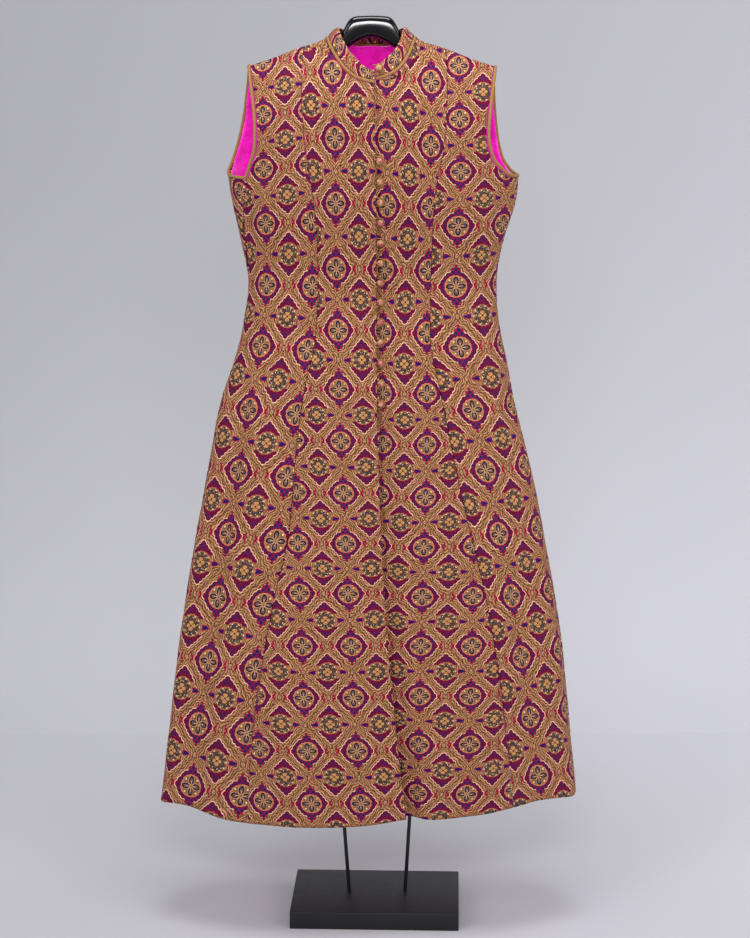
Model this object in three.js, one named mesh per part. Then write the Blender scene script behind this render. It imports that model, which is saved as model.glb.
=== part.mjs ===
// A sleeveless embroidered robe with a standing collar, on its display stand.
// Millimetres, +Z up. The front faces -Y, and +X is the wearer's left.
// The origin is the middle of the underside of the stand's base.

import * as THREE from 'three';

// Cloth and seams
const wall = 2.4; // brocade, interlining and lining together
const liningWall = 1;
const liningMargin = 1;
const seamGap = 0.3;
const pipingRadius = 2.6;
const pipingGap = 0.5;
const pipingSides = 6;
const sharpestCorner = 0.5; // cosine below which a piping is no longer widened at a corner

// Levels run up each cut edge of a panel: below the armpit a level is a height
const hemLevel = 200;
const armpitLevel = 1276;
const neckLevel = 1434;
const topLevel = 1489;

// The robe hangs a little to one side of the middle of its stand
const centreX = -8;
const roundness = 2.2; // exponent of the cross-section, where 2 is an ellipse
const shoulderFall = 150; // height over which front and back close to the shoulder line
const lapWidth = 12;
const hemFade = 250; // height over which the lift of the hem dies out

// The dip of both fronts beside the lap, and the panel columns that follow it
const overDip = { share: 0.4, width: 35 };
const underDip = { middle: 6, width: 22, level: 8, rise: 22 };
const besideLap = { near: 14, far: 40 };

// The collar leans in from the neck edge by so much, and rises by so much
const neckMiddle = { y: -10, z: 1500, halfWidth: 72 };
const collarLean = { frontIn: 6, sideIn: 15, frontUp: 21, sideUp: 15 };
const collarBow = 1.2;

// Buttons and their loops
const buttonRadius = 5.75;
const buttonCount = 13;
const topButton = 1309;
const buttonSpacing = 33.1;
const buttonFromEdge = 6.3;
const loopCord = 1;
const loopRadius = 6.6;
const collarLoopRadius = 8;
const loopSides = 4;
const loopGap = 0.8; // from the cut edge that a loop starts at
const collarLoopEnds = { start: -5, edge: 1.5 };

// Stand
const base = { width: 290, depth: 201, height: 31, chamfer: 1.5, turn: 2 };
const rod = { radius: 3.2, left: [51, 130], right: [-47, -146] };

// Half widths to each side of centreX, and depths before and behind it
const body = [
  { z: 195, right: 366, left: 358, front: 142, back: 140 },
  { z: 344, right: 348, left: 343, front: 138, back: 136 },
  { z: 487, right: 329, left: 327, front: 130, back: 129 },
  { z: 628, right: 306, left: 303, front: 120, back: 121 },
  { z: 767, right: 280, left: 275, front: 110, back: 113 },
  { z: 904, right: 253, left: 241, front: 99, back: 103 },
  { z: 972, right: 230, left: 227, front: 90, back: 91 },
  { z: 1040, right: 213, left: 213, front: 80, back: 76 },
  { z: 1107, right: 205, left: 209, front: 75, back: 68 },
  { z: 1173, right: 216, left: 220, front: 82, back: 74 },
  { z: 1239, right: 230, left: 239, front: 91, back: 83 },
  { z: 1290, right: 236, left: 242, front: 94, back: 87 },
  { z: 1380, right: 235, left: 238, front: 93, back: 86 },
  { z: 1440, right: 232, left: 232, front: 90, back: 82 },
  { z: 1530, right: 232, left: 232, front: 88, back: 80 },
];

// Height of the shoulder line at a distance out from centreX
const shoulderLine = [
  { out: 0, z: 1522 },
  { out: 74, z: 1502 },
  { out: 87, z: 1496 },
  { out: 111, z: 1489 },
  { out: 130, z: 1482.5 },
  { out: 165, z: 1469 },
  { out: 205, z: 1456 },
  { out: 260, z: 1438 },
];

// Where the seams of the front lie
const centreFront = [
  { z: 195, x: 53 },
  { z: 291, x: 41 },
  { z: 396, x: 31 },
  { z: 522, x: 19 },
  { z: 692, x: 9 },
  { z: 902, x: 2 },
  { z: 1246, x: 0 },
  { z: 1440, x: -4 },
];
const princessRight = [
  { z: 195, x: -219 },
  { z: 378, x: -205 },
  { z: 561, x: -175 },
  { z: 694, x: -146 },
  { z: 848, x: -131 },
  { z: 940, x: -117 },
  { z: 1010, x: -101 },
  { z: 1084, x: -96 },
  { z: 1182, x: -96 },
  { z: 1246, x: -102 },
  { z: 1326, x: -114 },
  { z: 1405, x: -120 },
  { z: 1530, x: -118 },
];
const princessLeft = [
  { z: 195, x: 236 },
  { z: 326, x: 221 },
  { z: 467, x: 204 },
  { z: 594, x: 181 },
  { z: 758, x: 142 },
  { z: 884, x: 116 },
  { z: 951, x: 102 },
  { z: 1010, x: 90 },
  { z: 1156, x: 91 },
  { z: 1257, x: 96 },
  { z: 1339, x: 111 },
  { z: 1431, x: 115 },
  { z: 1530, x: 113 },
];

// The right side seam swings to the front below the arm
const sideSeamRight = [
  { z: 195, turn: -1 },
  { z: 1040, turn: -1 },
  { z: 1157, turn: -0.87 },
  { z: 1276, turn: -0.643 },
];

// Armhole edges: turn is 0 at the front, 1 at the side and 2 at the back
const armholeFrontRight = [
  { level: 1276, x: -211, z: 1276 },
  { level: 1298, x: -204, z: 1296 },
  { level: 1325, x: -196, z: 1320 },
  { level: 1350, x: -194, z: 1340 },
  { level: 1385, x: -194, z: 1372 },
  { level: 1420, x: -197, z: 1402 },
  { level: 1489, x: -205, z: 1458.6 },
];
const armholeFrontLeft = [
  { level: 1276, x: 234, z: 1276 },
  { level: 1281, x: 221, z: 1279 },
  { level: 1290, x: 207, z: 1288 },
  { level: 1308, x: 191, z: 1305 },
  { level: 1330, x: 183, z: 1325 },
  { level: 1360, x: 179.5, z: 1350 },
  { level: 1420, x: 184, z: 1404 },
  { level: 1489, x: 192, z: 1457.6 },
];
const armholeBackRight = [
  { level: 1276, turn: -0.643, z: 1276 },
  { level: 1281, turn: -0.82, z: 1277 },
  { level: 1290, turn: -1.02, z: 1282 },
  { level: 1308, turn: -1.17, z: 1300 },
  { level: 1340, turn: -1.255, z: 1330 },
  { level: 1380, turn: -1.315, z: 1368 },
  { level: 1420, turn: -1.34, z: 1402 },
  { level: 1489, turn: -1.371, z: 1458.6 },
];
const armholeBackLeft = [
  { level: 1276, turn: -3, z: 1276 },
  { level: 1281, turn: -2.87, z: 1279 },
  { level: 1290, turn: -2.78, z: 1286 },
  { level: 1308, turn: -2.7, z: 1302 },
  { level: 1340, turn: -2.655, z: 1330 },
  { level: 1380, turn: -2.635, z: 1368 },
  { level: 1420, turn: -2.63, z: 1402 },
  { level: 1489, turn: -2.645, z: 1457.6 },
];

// The front neck edges, from the centre front up to the shoulder line
const neckRight = [
  { level: 1434, x: -4, z: 1431 },
  { level: 1446, x: -31, z: 1438 },
  { level: 1457, x: -52, z: 1453 },
  { level: 1469, x: -68, z: 1474 },
  { level: 1480, x: -77, z: 1490 },
  { level: 1489, x: -82, z: 1502 },
];
const neckLeft = [
  { level: 1434, x: -14, z: 1434 },
  { level: 1446, x: 14, z: 1440 },
  { level: 1457, x: 37, z: 1452.5 },
  { level: 1469, x: 54, z: 1474 },
  { level: 1480, x: 61, z: 1490 },
  { level: 1489, x: 66, z: 1502 },
];
const neckPointTurn = 0.1785;
const backNeck = { middle: 1488, rise: 14, halfWidth: 74, bend: 2.4 };

// The hem lifts a little towards the side seams, and more on the left
const hemLine = [
  { x: -374, lift: 8 },
  { x: -345, lift: 15 },
  { x: -300, lift: 11 },
  { x: -250, lift: 2 },
  { x: -150, lift: 0 },
  { x: -40, lift: 1 },
  { x: 50, lift: 10 },
  { x: 120, lift: 13 },
  { x: 230, lift: 24 },
  { x: 300, lift: 28 },
  { x: 350, lift: 21 },
];

// The valley beside the front edge, as a depth at each height
const valley = [
  { z: 195, depth: 22 },
  { z: 450, depth: 18 },
  { z: 700, depth: 12 },
  { z: 900, depth: 9 },
  { z: 1080, depth: 9 },
  { z: 1200, depth: 3 },
  { z: 1300, depth: 0 },
  { z: 1530, depth: 0 },
];

// Main folds: where they run, how wide they are, and how far they stand out at the hem
const folds = [
  { turn: -0.83, width: 0.09, out: 7, starts: 980, full: 420 },
  { turn: -0.62, width: 0.07, out: -5, starts: 1060, full: 700 },
  { turn: -0.2, width: 0.1, out: 6, starts: 860, full: 320 },
  { turn: 0.34, width: 0.09, out: 6, starts: 900, full: 350 },
  { turn: 0.56, width: 0.07, out: -6, starts: 1000, full: 560 },
  { turn: 0.8, width: 0.08, out: 6, starts: 940, full: 380 },
  { turn: -1.3, width: 0.08, out: -8, starts: 960, full: 380 },
  { turn: -1.52, width: 0.1, out: 9, starts: 1000, full: 420 },
  { turn: -1.8, width: 0.08, out: -9, starts: 1040, full: 360 },
  { turn: -2.08, width: 0.09, out: 8, starts: 980, full: 300 },
  { turn: -2.36, width: 0.08, out: -9, starts: 1040, full: 400 },
  { turn: -2.64, width: 0.1, out: 8, starts: 940, full: 380 },
];

// The shoulder form: its upper and lower line and half depth at each distance out
const formSides = 12;
const formPower = 0.9; // just under 1, which is an ellipse, for fuller sides
const formShape = [
  { out: 0, top: 1538.5, bottom: 1510.5, depth: 17 },
  { out: 12, top: 1538.2, bottom: 1509.3, depth: 17 },
  { out: 24, top: 1537, bottom: 1506, depth: 17 },
  { out: 32, top: 1533, bottom: 1502, depth: 17 },
  { out: 38, top: 1524, bottom: 1498.5, depth: 17 },
  { out: 44, top: 1514.5, bottom: 1493, depth: 17 },
  { out: 51, top: 1504, bottom: 1486, depth: 17 },
  { out: 61, top: 1497.5, bottom: 1477, depth: 17 },
  { out: 74, top: 1493.5, bottom: 1470, depth: 17 },
  { out: 88, top: 1490, bottom: 1464.5, depth: 17 },
  { out: 111, top: 1484.1, bottom: 1457, depth: 16.5 },
  { out: 130, top: 1477.7, bottom: 1450, depth: 16 },
  { out: 165, top: 1464.2, bottom: 1437, depth: 14 },
  { out: 184, top: 1457, bottom: 1433, depth: 11 },
  { out: 190, top: 1451, bottom: 1437, depth: 5 },
];

// Rows of every panel, closer where the edges bend and at the shoulder
const levels = [
  hemLevel, 290, 390, 500, 610, 720, 820, 900, 960, 1010, 1060, 1110, 1160, 1210, 1245,
  armpitLevel, 1281, 1290, 1308, 1330, 1360, 1395, neckLevel, 1440, 1446, 1451, 1457,
  1463, 1469, 1475, 1480, 1484, 1487, 1488.4, topLevel,
];
const liningLevels = [1245, armpitLevel, 1281, 1290, 1308, 1360, neckLevel, 1457, 1469,
  1480, 1487, topLevel];
const shoulderLevel = 1380;
const frontColumns = { right: [4, 1, 1], left: [1, 2, 2, 3], side: [6] };
const backColumns = [6, 6, 6];

// Steps for measuring the direction of a face
const turnStep = 0.001;
const heightStep = 0.05;

const colours = {
  brocade: 0x9c5f58,
  gold: 0xb08a50,
  lining: 0xe815b0,
  black: 0x0d0d0f,
};

function clamp(value) {
  return Math.min(1, Math.max(0, value));
}

function smooth(value) {
  const t = clamp(value);
  return t * t * (3 - 2 * t);
}

function mix(a, b, share) {
  return a + (b - a) * share;
}

function signedPower(value, power) {
  return Math.sign(value) * Math.abs(value) ** power;
}

// Reads a column of a table at a place between its rows, along a smooth curve
function valueAt(table, column, place, key = 'z') {
  let row = 0;
  while (row < table.length - 2 && place > table[row + 1][key]) {
    row += 1;
  }
  const from = table[row];
  const to = table[row + 1];
  const before = table[row - 1] ?? from;
  const after = table[row + 2] ?? to;
  const span = to[key] - from[key];
  const t = clamp((place - from[key]) / span);
  const slopeFrom = (to[column] - before[column]) / (to[key] - before[key]);
  const slopeTo = (after[column] - from[column]) / (after[key] - from[key]);
  const bend = t * (1 - t) * span;
  const ease = t * t * (3 - 2 * t);
  return mix(from[column], to[column], ease) + bend * ((1 - t) * slopeFrom - t * slopeTo);
}

function halfWidthAt(across, z) {
  return valueAt(body, across < 0 ? 'right' : 'left', z);
}

function shoulderHeight(x) {
  return valueAt(shoulderLine, 'z', Math.abs(x - centreX), 'out');
}

function xAt(turn, z) {
  const across = signedPower(Math.sin((turn * Math.PI) / 2), 2 / roundness);
  return centreX + halfWidthAt(across, z) * across;
}

// The turn of a point on the front, from its x
function turnAt(x, z) {
  const across = (x - centreX) / halfWidthAt(x - centreX, z);
  const sine = Math.min(1, Math.abs(across) ** (roundness / 2));
  return (Math.sign(across) * Math.asin(sine) * 2) / Math.PI;
}

function foldAt(turn, z) {
  let out = 0;
  for (const fold of folds) {
    const aside = (turn - fold.turn) / fold.width;
    out += fold.out * Math.exp(-aside * aside) * smooth((fold.starts - z) / (fold.starts - fold.full));
  }
  return out;
}

// A point of the outer face, which lies further in by the inset
function bodyPoint(turn, z, inset = 0) {
  const angle = (turn * Math.PI) / 2;
  const across = signedPower(Math.sin(angle), 2 / roundness);
  const ahead = signedPower(Math.cos(angle), 2 / roundness);
  const halfWidth = halfWidthAt(across, z);
  const depth = valueAt(body, ahead > 0 ? 'front' : 'back', z);
  const drop = clamp((shoulderHeight(centreX + halfWidth * across) - z) / shoulderFall);
  const closing = Math.sqrt(1 - (1 - drop) ** 2);
  const outward = new THREE.Vector3(across / halfWidth, -ahead / depth, 0).normalize();
  const point = new THREE.Vector3(centreX + halfWidth * across, -depth * ahead * closing, z);
  return point.addScaledVector(outward, foldAt(turn, z) - inset);
}

function frontEdgeX(z) {
  return valueAt(centreFront, 'x', z);
}

// The wearer's right panel laps over, and sinks a little beside its edge
function overlapFace(turn, z) {
  const aside = (xAt(turn, z) - frontEdgeX(z)) / overDip.width;
  const depth = overDip.share * valueAt(valley, 'depth', z);
  return bodyPoint(turn, z, depth * Math.exp(-aside * aside));
}

// The left panel passes under it and rises out of the valley
function underlapFace(turn, z) {
  const beside = xAt(turn, z) - frontEdgeX(z);
  const under = (wall + 2 * seamGap) * (1 - smooth((beside - underDip.level) / underDip.rise));
  const aside = (beside - underDip.middle) / underDip.width;
  return bodyPoint(turn, z, under + valueAt(valley, 'depth', z) * Math.exp(-aside * aside));
}

function plainFace(turn, z) {
  return bodyPoint(turn, z);
}

// The outward direction of a face, from points just beside and just below
function normalOf(face, turn, z) {
  const beside = face(turn + turnStep, z).sub(face(turn - turnStep, z));
  const upward = face(turn, z).sub(face(turn, z - heightStep));
  return beside.cross(upward).normalize();
}

// Edges: each gives the turn and the height at a level
function seamEdge(table) {
  return (level) => ({ turn: turnAt(valueAt(table, 'x', level), level), z: level });
}

function bentEdge(table, level) {
  const z = valueAt(table, 'z', level, 'level');
  const row = table[0];
  const turn = 'turn' in row
    ? valueAt(table, 'turn', level, 'level')
    : turnAt(valueAt(table, 'x', level, 'level'), z);
  return { turn, z };
}

function rightSideEdge(armhole) {
  return (level) => {
    if (level > armpitLevel) {
      return bentEdge(armhole, level);
    }
    return { turn: valueAt(sideSeamRight, 'turn', level), z: level };
  };
}

function leftSideEdge(armhole, sideTurn) {
  return (level) => (level > armpitLevel ? bentEdge(armhole, level) : { turn: sideTurn, z: level });
}

function rightFrontEdge(level) {
  if (level > neckLevel) {
    return bentEdge(neckRight, level);
  }
  const z = Math.min(level, neckRight[0].z);
  return { turn: turnAt(frontEdgeX(level), level), z };
}

function leftFrontEdge(level) {
  if (level > neckLevel) {
    return bentEdge(neckLeft, level);
  }
  return { turn: turnAt(frontEdgeX(level) - lapWidth, level), z: level };
}

// An inner edge at a distance from the front edge, which fans out along the neck
function edgeBeside(distance, outerEdge, innerEdge) {
  return (level) => {
    const low = Math.min(level, neckLevel);
    const outer = outerEdge(level);
    const inner = innerEdge(level);
    const from = outerEdge(low).turn;
    const share = (turnAt(frontEdgeX(low) + distance, low) - from) / (innerEdge(low).turn - from);
    return { turn: mix(outer.turn, inner.turn, share), z: mix(outer.z, inner.z, share) };
  };
}

function shoulderTop(turn) {
  return shoulderHeight(xAt(turn, topLevel));
}

function backTop(turn) {
  const out = Math.abs(xAt(turn, topLevel) - centreX);
  if (out > backNeck.halfWidth) {
    return shoulderTop(turn);
  }
  return backNeck.middle + backNeck.rise * (out / backNeck.halfWidth) ** backNeck.bend;
}

// Turn and height at each row and column between a panel's edges
function panelGrid({ edges, columns, top, rows = levels }) {
  return rows.map((level) => {
    const row = [];
    edges.slice(1).forEach((edge, index) => {
      const count = columns[index];
      for (let step = index === 0 ? 0 : 1; step <= count; step += 1) {
        const share = step / count;
        const [a, b] = [edges[index](level), edge(level)];
        const [topA, topB] = [edges[index](topLevel), edge(topLevel)];
        const turn = mix(a.turn, b.turn, share);
        const missing = top(mix(topA.turn, topB.turn, share)) - mix(topA.z, topB.z, share);
        const rise = missing * smooth((level - shoulderLevel) / (topLevel - shoulderLevel));
        const low = 1 - smooth((level - hemLevel) / hemFade);
        const lift = valueAt(hemLine, 'lift', xAt(turn, level), 'x') * low;
        row.push({ turn, z: mix(a.z, b.z, share) + rise + lift });
      }
    });
    return row;
  });
}

// Moves the border of a grid of points in by half a seam's gap
function pullIn(grid, distance = seamGap / 2) {
  const last = grid.length - 1;
  for (const row of grid) {
    const end = row.length - 1;
    const fromStart = row[1].clone().sub(row[0]).setLength(distance);
    const fromEnd = row[end - 1].clone().sub(row[end]).setLength(distance);
    row[0].add(fromStart);
    row[end].add(fromEnd);
  }
  grid[last].forEach((point, column) => {
    point.add(grid[last - 1][column].clone().sub(point).setLength(distance));
  });
  return grid;
}

// A closed wall between an outer and an inner grid of points
function wallGeometry(outer, inner) {
  const rows = outer.length;
  const columns = outer[0].length;
  const positions = [];
  const triangles = [];
  for (const grid of [outer, inner]) {
    for (const row of grid) {
      row.forEach((point) => positions.push(point.x, point.y, point.z));
    }
  }
  const out = (row, column) => row * columns + column;
  const within = (row, column) => rows * columns + row * columns + column;
  const quad = (a, b, c, d) => triangles.push(a, b, c, a, c, d);
  for (let row = 0; row < rows - 1; row += 1) {
    for (let column = 0; column < columns - 1; column += 1) {
      quad(out(row, column), out(row, column + 1), out(row + 1, column + 1), out(row + 1, column));
      quad(within(row, column), within(row + 1, column), within(row + 1, column + 1),
        within(row, column + 1));
    }
    const end = columns - 1;
    quad(out(row, 0), out(row + 1, 0), within(row + 1, 0), within(row, 0));
    quad(out(row, end), within(row, end), within(row + 1, end), out(row + 1, end));
  }
  for (let column = 0; column < columns - 1; column += 1) {
    const end = rows - 1;
    quad(out(0, column), within(0, column), within(0, column + 1), out(0, column + 1));
    quad(out(end, column), out(end, column + 1), within(end, column + 1), within(end, column));
  }
  return solid(positions, triangles);
}

function solid(positions, triangles) {
  const geometry = new THREE.BufferGeometry();
  geometry.setAttribute('position', new THREE.Float32BufferAttribute(positions, 3));
  geometry.setIndex(triangles);
  geometry.computeVertexNormals();
  return geometry;
}

// The points of a panel at a depth below its face
function shellPoints(face, grid, depth) {
  return pullIn(grid.map((row) => row.map(({ turn, z }) => (
    face(turn, z).addScaledVector(normalOf(face, turn, z), -depth)
  ))));
}

function clothGeometry(face, grid) {
  return wallGeometry(shellPoints(face, grid, 0), shellPoints(face, grid, wall));
}

// The unit steps into and out of a point of a line
function stepsAt(points, index, closed) {
  const count = points.length;
  const after = closed ? (index + 1) % count : index + 1;
  const before = closed ? (index + count - 1) % count : index - 1;
  const ahead = points[after]?.clone().sub(points[index]).normalize();
  const behind = points[before] && points[index].clone().sub(points[before]).normalize();
  return [behind ?? ahead, ahead ?? behind];
}

// A round cord through points, whose section turns with the directions given
function cordGeometry(points, ups, radius, sides, closed) {
  const count = points.length;
  const positions = [];
  const triangles = [];
  points.forEach((point, index) => {
    const [behind, ahead] = stepsAt(points, index, closed);
    const along = behind.clone().add(ahead).normalize();
    const side = ups[index].clone().cross(along).normalize();
    const up = along.clone().cross(side);
    for (let step = 0; step < sides; step += 1) {
      const angle = (2 * Math.PI * step) / sides;
      const place = point.clone().addScaledVector(side, radius * Math.cos(angle));
      place.addScaledVector(up, radius * Math.sin(angle));
      positions.push(place.x, place.y, place.z);
    }
  });
  for (let ring = 0; ring < (closed ? count : count - 1); ring += 1) {
    for (let step = 0; step < sides; step += 1) {
      const here = ring * sides;
      const there = ((ring + 1) % count) * sides;
      const turned = (step + 1) % sides;
      triangles.push(here + step, here + turned, there + turned);
      triangles.push(here + step, there + turned, there + step);
    }
  }
  if (!closed) {
    for (let step = 1; step < sides - 1; step += 1) {
      const far = (count - 1) * sides;
      triangles.push(0, step + 1, step, far, far + step, far + step + 1);
    }
  }
  return solid(positions, triangles);
}

// Points of a cut edge with their outward directions
function edgePoints(face, places) {
  return places.map(({ turn, z }) => ({
    point: face(turn, z),
    normal: normalOf(face, turn, z),
  }));
}

// The line of a piping that lies beside a cut edge, on the side of the opening
function besideEdge(edge, closed, middle) {
  const points = edge.map(({ point }) => point);
  return edge.map(({ point, normal }, index) => {
    const [behind, ahead] = stepsAt(points, index, closed);
    const along = behind.clone().add(ahead).normalize();
    const away = along.clone().cross(normal).normalize();
    if (away.dot(middle.clone().sub(point)) < 0) {
      away.negate();
    }
    const corner = Math.max(sharpestCorner, along.dot(ahead));
    return point.clone().addScaledVector(away, (pipingRadius + pipingGap) / corner);
  });
}

function centreOf(points) {
  const sum = new THREE.Vector3();
  points.forEach((point) => sum.add(point));
  return sum.divideScalar(points.length);
}

const frontPrincessRight = seamEdge(princessRight);
const frontPrincessLeft = seamEdge(princessLeft);

const panels = {
  front_right: {
    face: overlapFace,
    edges: [
      frontPrincessRight,
      edgeBeside(-besideLap.far, rightFrontEdge, frontPrincessRight),
      edgeBeside(-lapWidth, rightFrontEdge, frontPrincessRight),
      rightFrontEdge,
    ],
    columns: frontColumns.right,
    top: shoulderTop,
  },
  front_left: {
    face: underlapFace,
    edges: [
      leftFrontEdge,
      edgeBeside(0, leftFrontEdge, frontPrincessLeft),
      edgeBeside(besideLap.near, leftFrontEdge, frontPrincessLeft),
      edgeBeside(besideLap.far, leftFrontEdge, frontPrincessLeft),
      frontPrincessLeft,
    ],
    columns: frontColumns.left,
    top: shoulderTop,
  },
  side_front_right: {
    face: plainFace,
    edges: [rightSideEdge(armholeFrontRight), frontPrincessRight],
    columns: frontColumns.side,
    top: shoulderTop,
  },
  side_front_left: {
    face: plainFace,
    edges: [frontPrincessLeft, leftSideEdge(armholeFrontLeft, 1)],
    columns: frontColumns.side,
    top: shoulderTop,
  },
  back: {
    face: plainFace,
    edges: [
      leftSideEdge(armholeBackLeft, -3),
      (level) => ({ turn: -2 - neckPointTurn, z: level }),
      (level) => ({ turn: -2 + neckPointTurn, z: level }),
      rightSideEdge(armholeBackRight),
    ],
    columns: backColumns,
    top: backTop,
  },
};

function mesh(name, geometry, look) {
  const material = new THREE.MeshStandardMaterial(look);
  const piece = new THREE.Mesh(geometry, material);
  piece.name = name;
  return piece;
}

function addPanels(robe) {
  for (const [name, panel] of Object.entries(panels)) {
    const geometry = clothGeometry(panel.face, panelGrid(panel));
    robe.add(mesh(name, geometry, { color: colours.brocade, roughness: 0.8 }));
  }
}

// The lining is a sheet inside the upper back, where the neck and armholes show it
function addLining(robe) {
  const grid = panelGrid({ ...panels.back, rows: liningLevels });
  const depth = wall + 3 * seamGap;
  const shell = (below) => pullIn(shellPoints(plainFace, grid, below), liningMargin);
  const geometry = wallGeometry(shell(depth), shell(depth + liningWall));
  robe.add(mesh('lining_back', geometry, { color: colours.lining, roughness: 0.5 }));
}

function addArmholePiping(robe, name, frontEdge, backEdge) {
  const upper = levels.filter((level) => level >= armpitLevel);
  const places = upper.map((level) => frontEdge(level));
  const behind = upper.slice(1, -1).reverse().map((level) => backEdge(level));
  places[places.length - 1].z = shoulderTop(places[places.length - 1].turn);
  const edge = edgePoints(plainFace, [...places, ...behind]);
  const middle = centreOf(edge.map(({ point }) => point));
  const line = besideEdge(edge, true, middle);
  const ups = edge.map(({ normal }) => normal);
  const geometry = cordGeometry(line, ups, pipingRadius, pipingSides, true);
  robe.add(mesh(name, geometry, { color: colours.gold, roughness: 0.6 }));
}

// The neck edge, from the right front round the back to the left front
function neckEdge() {
  const upper = levels.filter((level) => level >= neckLevel);
  const right = edgePoints(overlapFace, upper.map((level) => rightFrontEdge(level)));
  const left = edgePoints(underlapFace, upper.map((level) => leftFrontEdge(level)));
  const steps = backColumns[1];
  const backPlaces = [];
  for (let step = 1; step < steps; step += 1) {
    const turn = -2 + neckPointTurn * (1 - (2 * step) / steps);
    backPlaces.push({ turn, z: backTop(turn) });
  }
  return [...right, ...edgePoints(plainFace, backPlaces), ...left.reverse().slice(0, -1)];
}

// The line of the collar's piping and the inward and upward lean of the collar there
function collarPlan() {
  const middle = new THREE.Vector3(centreX, neckMiddle.y, neckMiddle.z);
  const line = besideEdge(neckEdge(), false, middle);
  return line.map((point, index) => {
    const [behind, ahead] = stepsAt(line, index, false);
    const along = behind.clone().add(ahead).normalize();
    const inward = new THREE.Vector3(middle.x - point.x, middle.y - point.y, 0).normalize();
    const sideways = clamp(Math.abs(point.x - centreX) / neckMiddle.halfWidth);
    const lean = inward.multiplyScalar(mix(collarLean.frontIn, collarLean.sideIn, sideways));
    lean.setZ(mix(collarLean.frontUp, collarLean.sideUp, sideways));
    const up = lean.clone().addScaledVector(along, -lean.dot(along)).normalize();
    return { point, along, lean, up };
  });
}

// The collar's points at its foot, middle and top, at a depth below its face
function collarPoints(plan, depth) {
  return [0, 0.5, 1].map((share) => plan.map(({ point, along, lean, up }) => {
    const away = up.clone().cross(along).normalize();
    const foot = point.clone().addScaledVector(up, pipingRadius + pipingGap);
    const bow = 4 * share * (1 - share) * collarBow;
    return foot.addScaledVector(lean, share).addScaledVector(away, bow - depth);
  }));
}

function addCollar(robe, plan) {
  const cord = plan.map(({ point }) => point);
  const piping = cordGeometry(cord, plan.map(({ up }) => up), pipingRadius, pipingSides, false);
  robe.add(mesh('collar_piping', piping, { color: colours.gold, roughness: 0.6 }));

  const geometry = wallGeometry(collarPoints(plan, 0).reverse(), collarPoints(plan, wall).reverse());
  robe.add(mesh('collar', geometry, { color: colours.brocade, roughness: 0.8 }));
}

// A ball on its seat, and the loop round it, whose line is given
function addButton(robe, number, seat, away, line) {
  const label = String(number).padStart(2, '0');
  const ball = new THREE.SphereGeometry(buttonRadius, 8, 6);
  const button = mesh(`button_${label}`, ball, { color: colours.brocade, roughness: 0.6 });
  button.position.copy(seat).addScaledVector(away, buttonRadius + seamGap);
  robe.add(button);
  const geometry = cordGeometry(line, line.map(() => away), loopCord, loopSides, false);
  robe.add(mesh(`loop_${label}`, geometry, { color: colours.gold, roughness: 0.6 }));
}

// A half ring round a button, as places beside and above its middle
function halfRing(radius) {
  const places = [];
  for (let step = 0; step <= 6; step += 1) {
    const angle = Math.PI / 2 - (Math.PI * step) / 6;
    places.push([radius * Math.cos(angle), radius * Math.sin(angle)]);
  }
  return places;
}

// The point of a panel's own facets at an x and a height
function pointOnFacets(points, x, z) {
  const row = points.findIndex((places) => places[0].z > z) - 1;
  const share = (z - points[row][0].z) / (points[row + 1][0].z - points[row][0].z);
  const [low, high] = [points[row], points[row + 1]].map((places) => {
    const after = places.findIndex((place, index) => index > 0 && place.x > x);
    const [from, to] = [places[after - 1], places[after]];
    return from.clone().lerp(to, (x - from.x) / (to.x - from.x));
  });
  return low.lerp(high, share);
}

function addFrontButtons(robe) {
  const under = shellPoints(underlapFace, panelGrid(panels.front_left), 0);
  const over = shellPoints(overlapFace, panelGrid(panels.front_right), wall / 2);
  for (let index = 0; index < buttonCount; index += 1) {
    const z = topButton - index * buttonSpacing;
    const x = frontEdgeX(z) + buttonFromEdge;
    const away = normalOf(underlapFace, turnAt(x, z), z);
    const edgeAt = (high) => {
      const row = over.findIndex((places) => places[0].z > high) - 1;
      const [from, to] = [over[row].at(-1), over[row + 1].at(-1)];
      const point = from.clone().lerp(to, (high - from.z) / (to.z - from.z));
      return point.add(new THREE.Vector3(loopGap, 0, 0));
    };
    const ring = halfRing(loopRadius).map(([along, high]) => (
      pointOnFacets(under, x + along, z + high).addScaledVector(away, loopCord + seamGap)
    ));
    const line = [edgeAt(z + loopRadius), ...ring, edgeAt(z - loopRadius)];
    addButton(robe, index + 1, pointOnFacets(under, x, z), away, line);
  }
}

// The face of the collar beside one of its ends
function collarEnd(rows, side) {
  const [foot, middle, top] = rows;
  const across = middle[1].clone().sub(middle[0]).multiplyScalar(side).normalize();
  const away = across.clone().cross(top[0].clone().sub(foot[0])).normalize();
  return { middle: middle[0], across, up: away.clone().cross(across), away };
}

function placeOn({ middle, across, up, away }, along, high, height) {
  const place = middle.clone().addScaledVector(across, along).addScaledVector(up, high);
  return place.addScaledVector(away, height);
}

// The collar's ball sits on its left end, and the loop starts over its right end
function addCollarButton(robe, plan) {
  const rows = collarPoints(plan, 0);
  const left = collarEnd(rows.map((row) => row.slice(-2).reverse()), 1);
  const right = collarEnd(rows.map((row) => row.slice(0, 2)), -1);
  const height = loopCord + 2 * seamGap;
  const step = left.middle.clone().sub(right.middle).dot(right.up);
  const radius = collarLoopRadius;
  const ring = halfRing(radius).map(([along, high]) => (
    placeOn(left, buttonFromEdge + along, high, height)
  ));
  const { start, edge } = collarLoopEnds;
  const line = [
    placeOn(right, start, step + radius, height),
    placeOn(right, edge, step + radius, height),
    ...ring,
    placeOn(right, edge, step - radius, height),
    placeOn(right, start, step - radius, height),
  ];
  addButton(robe, buttonCount + 1, placeOn(left, buttonFromEdge, 0, seamGap), left.away, line);
}

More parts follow.
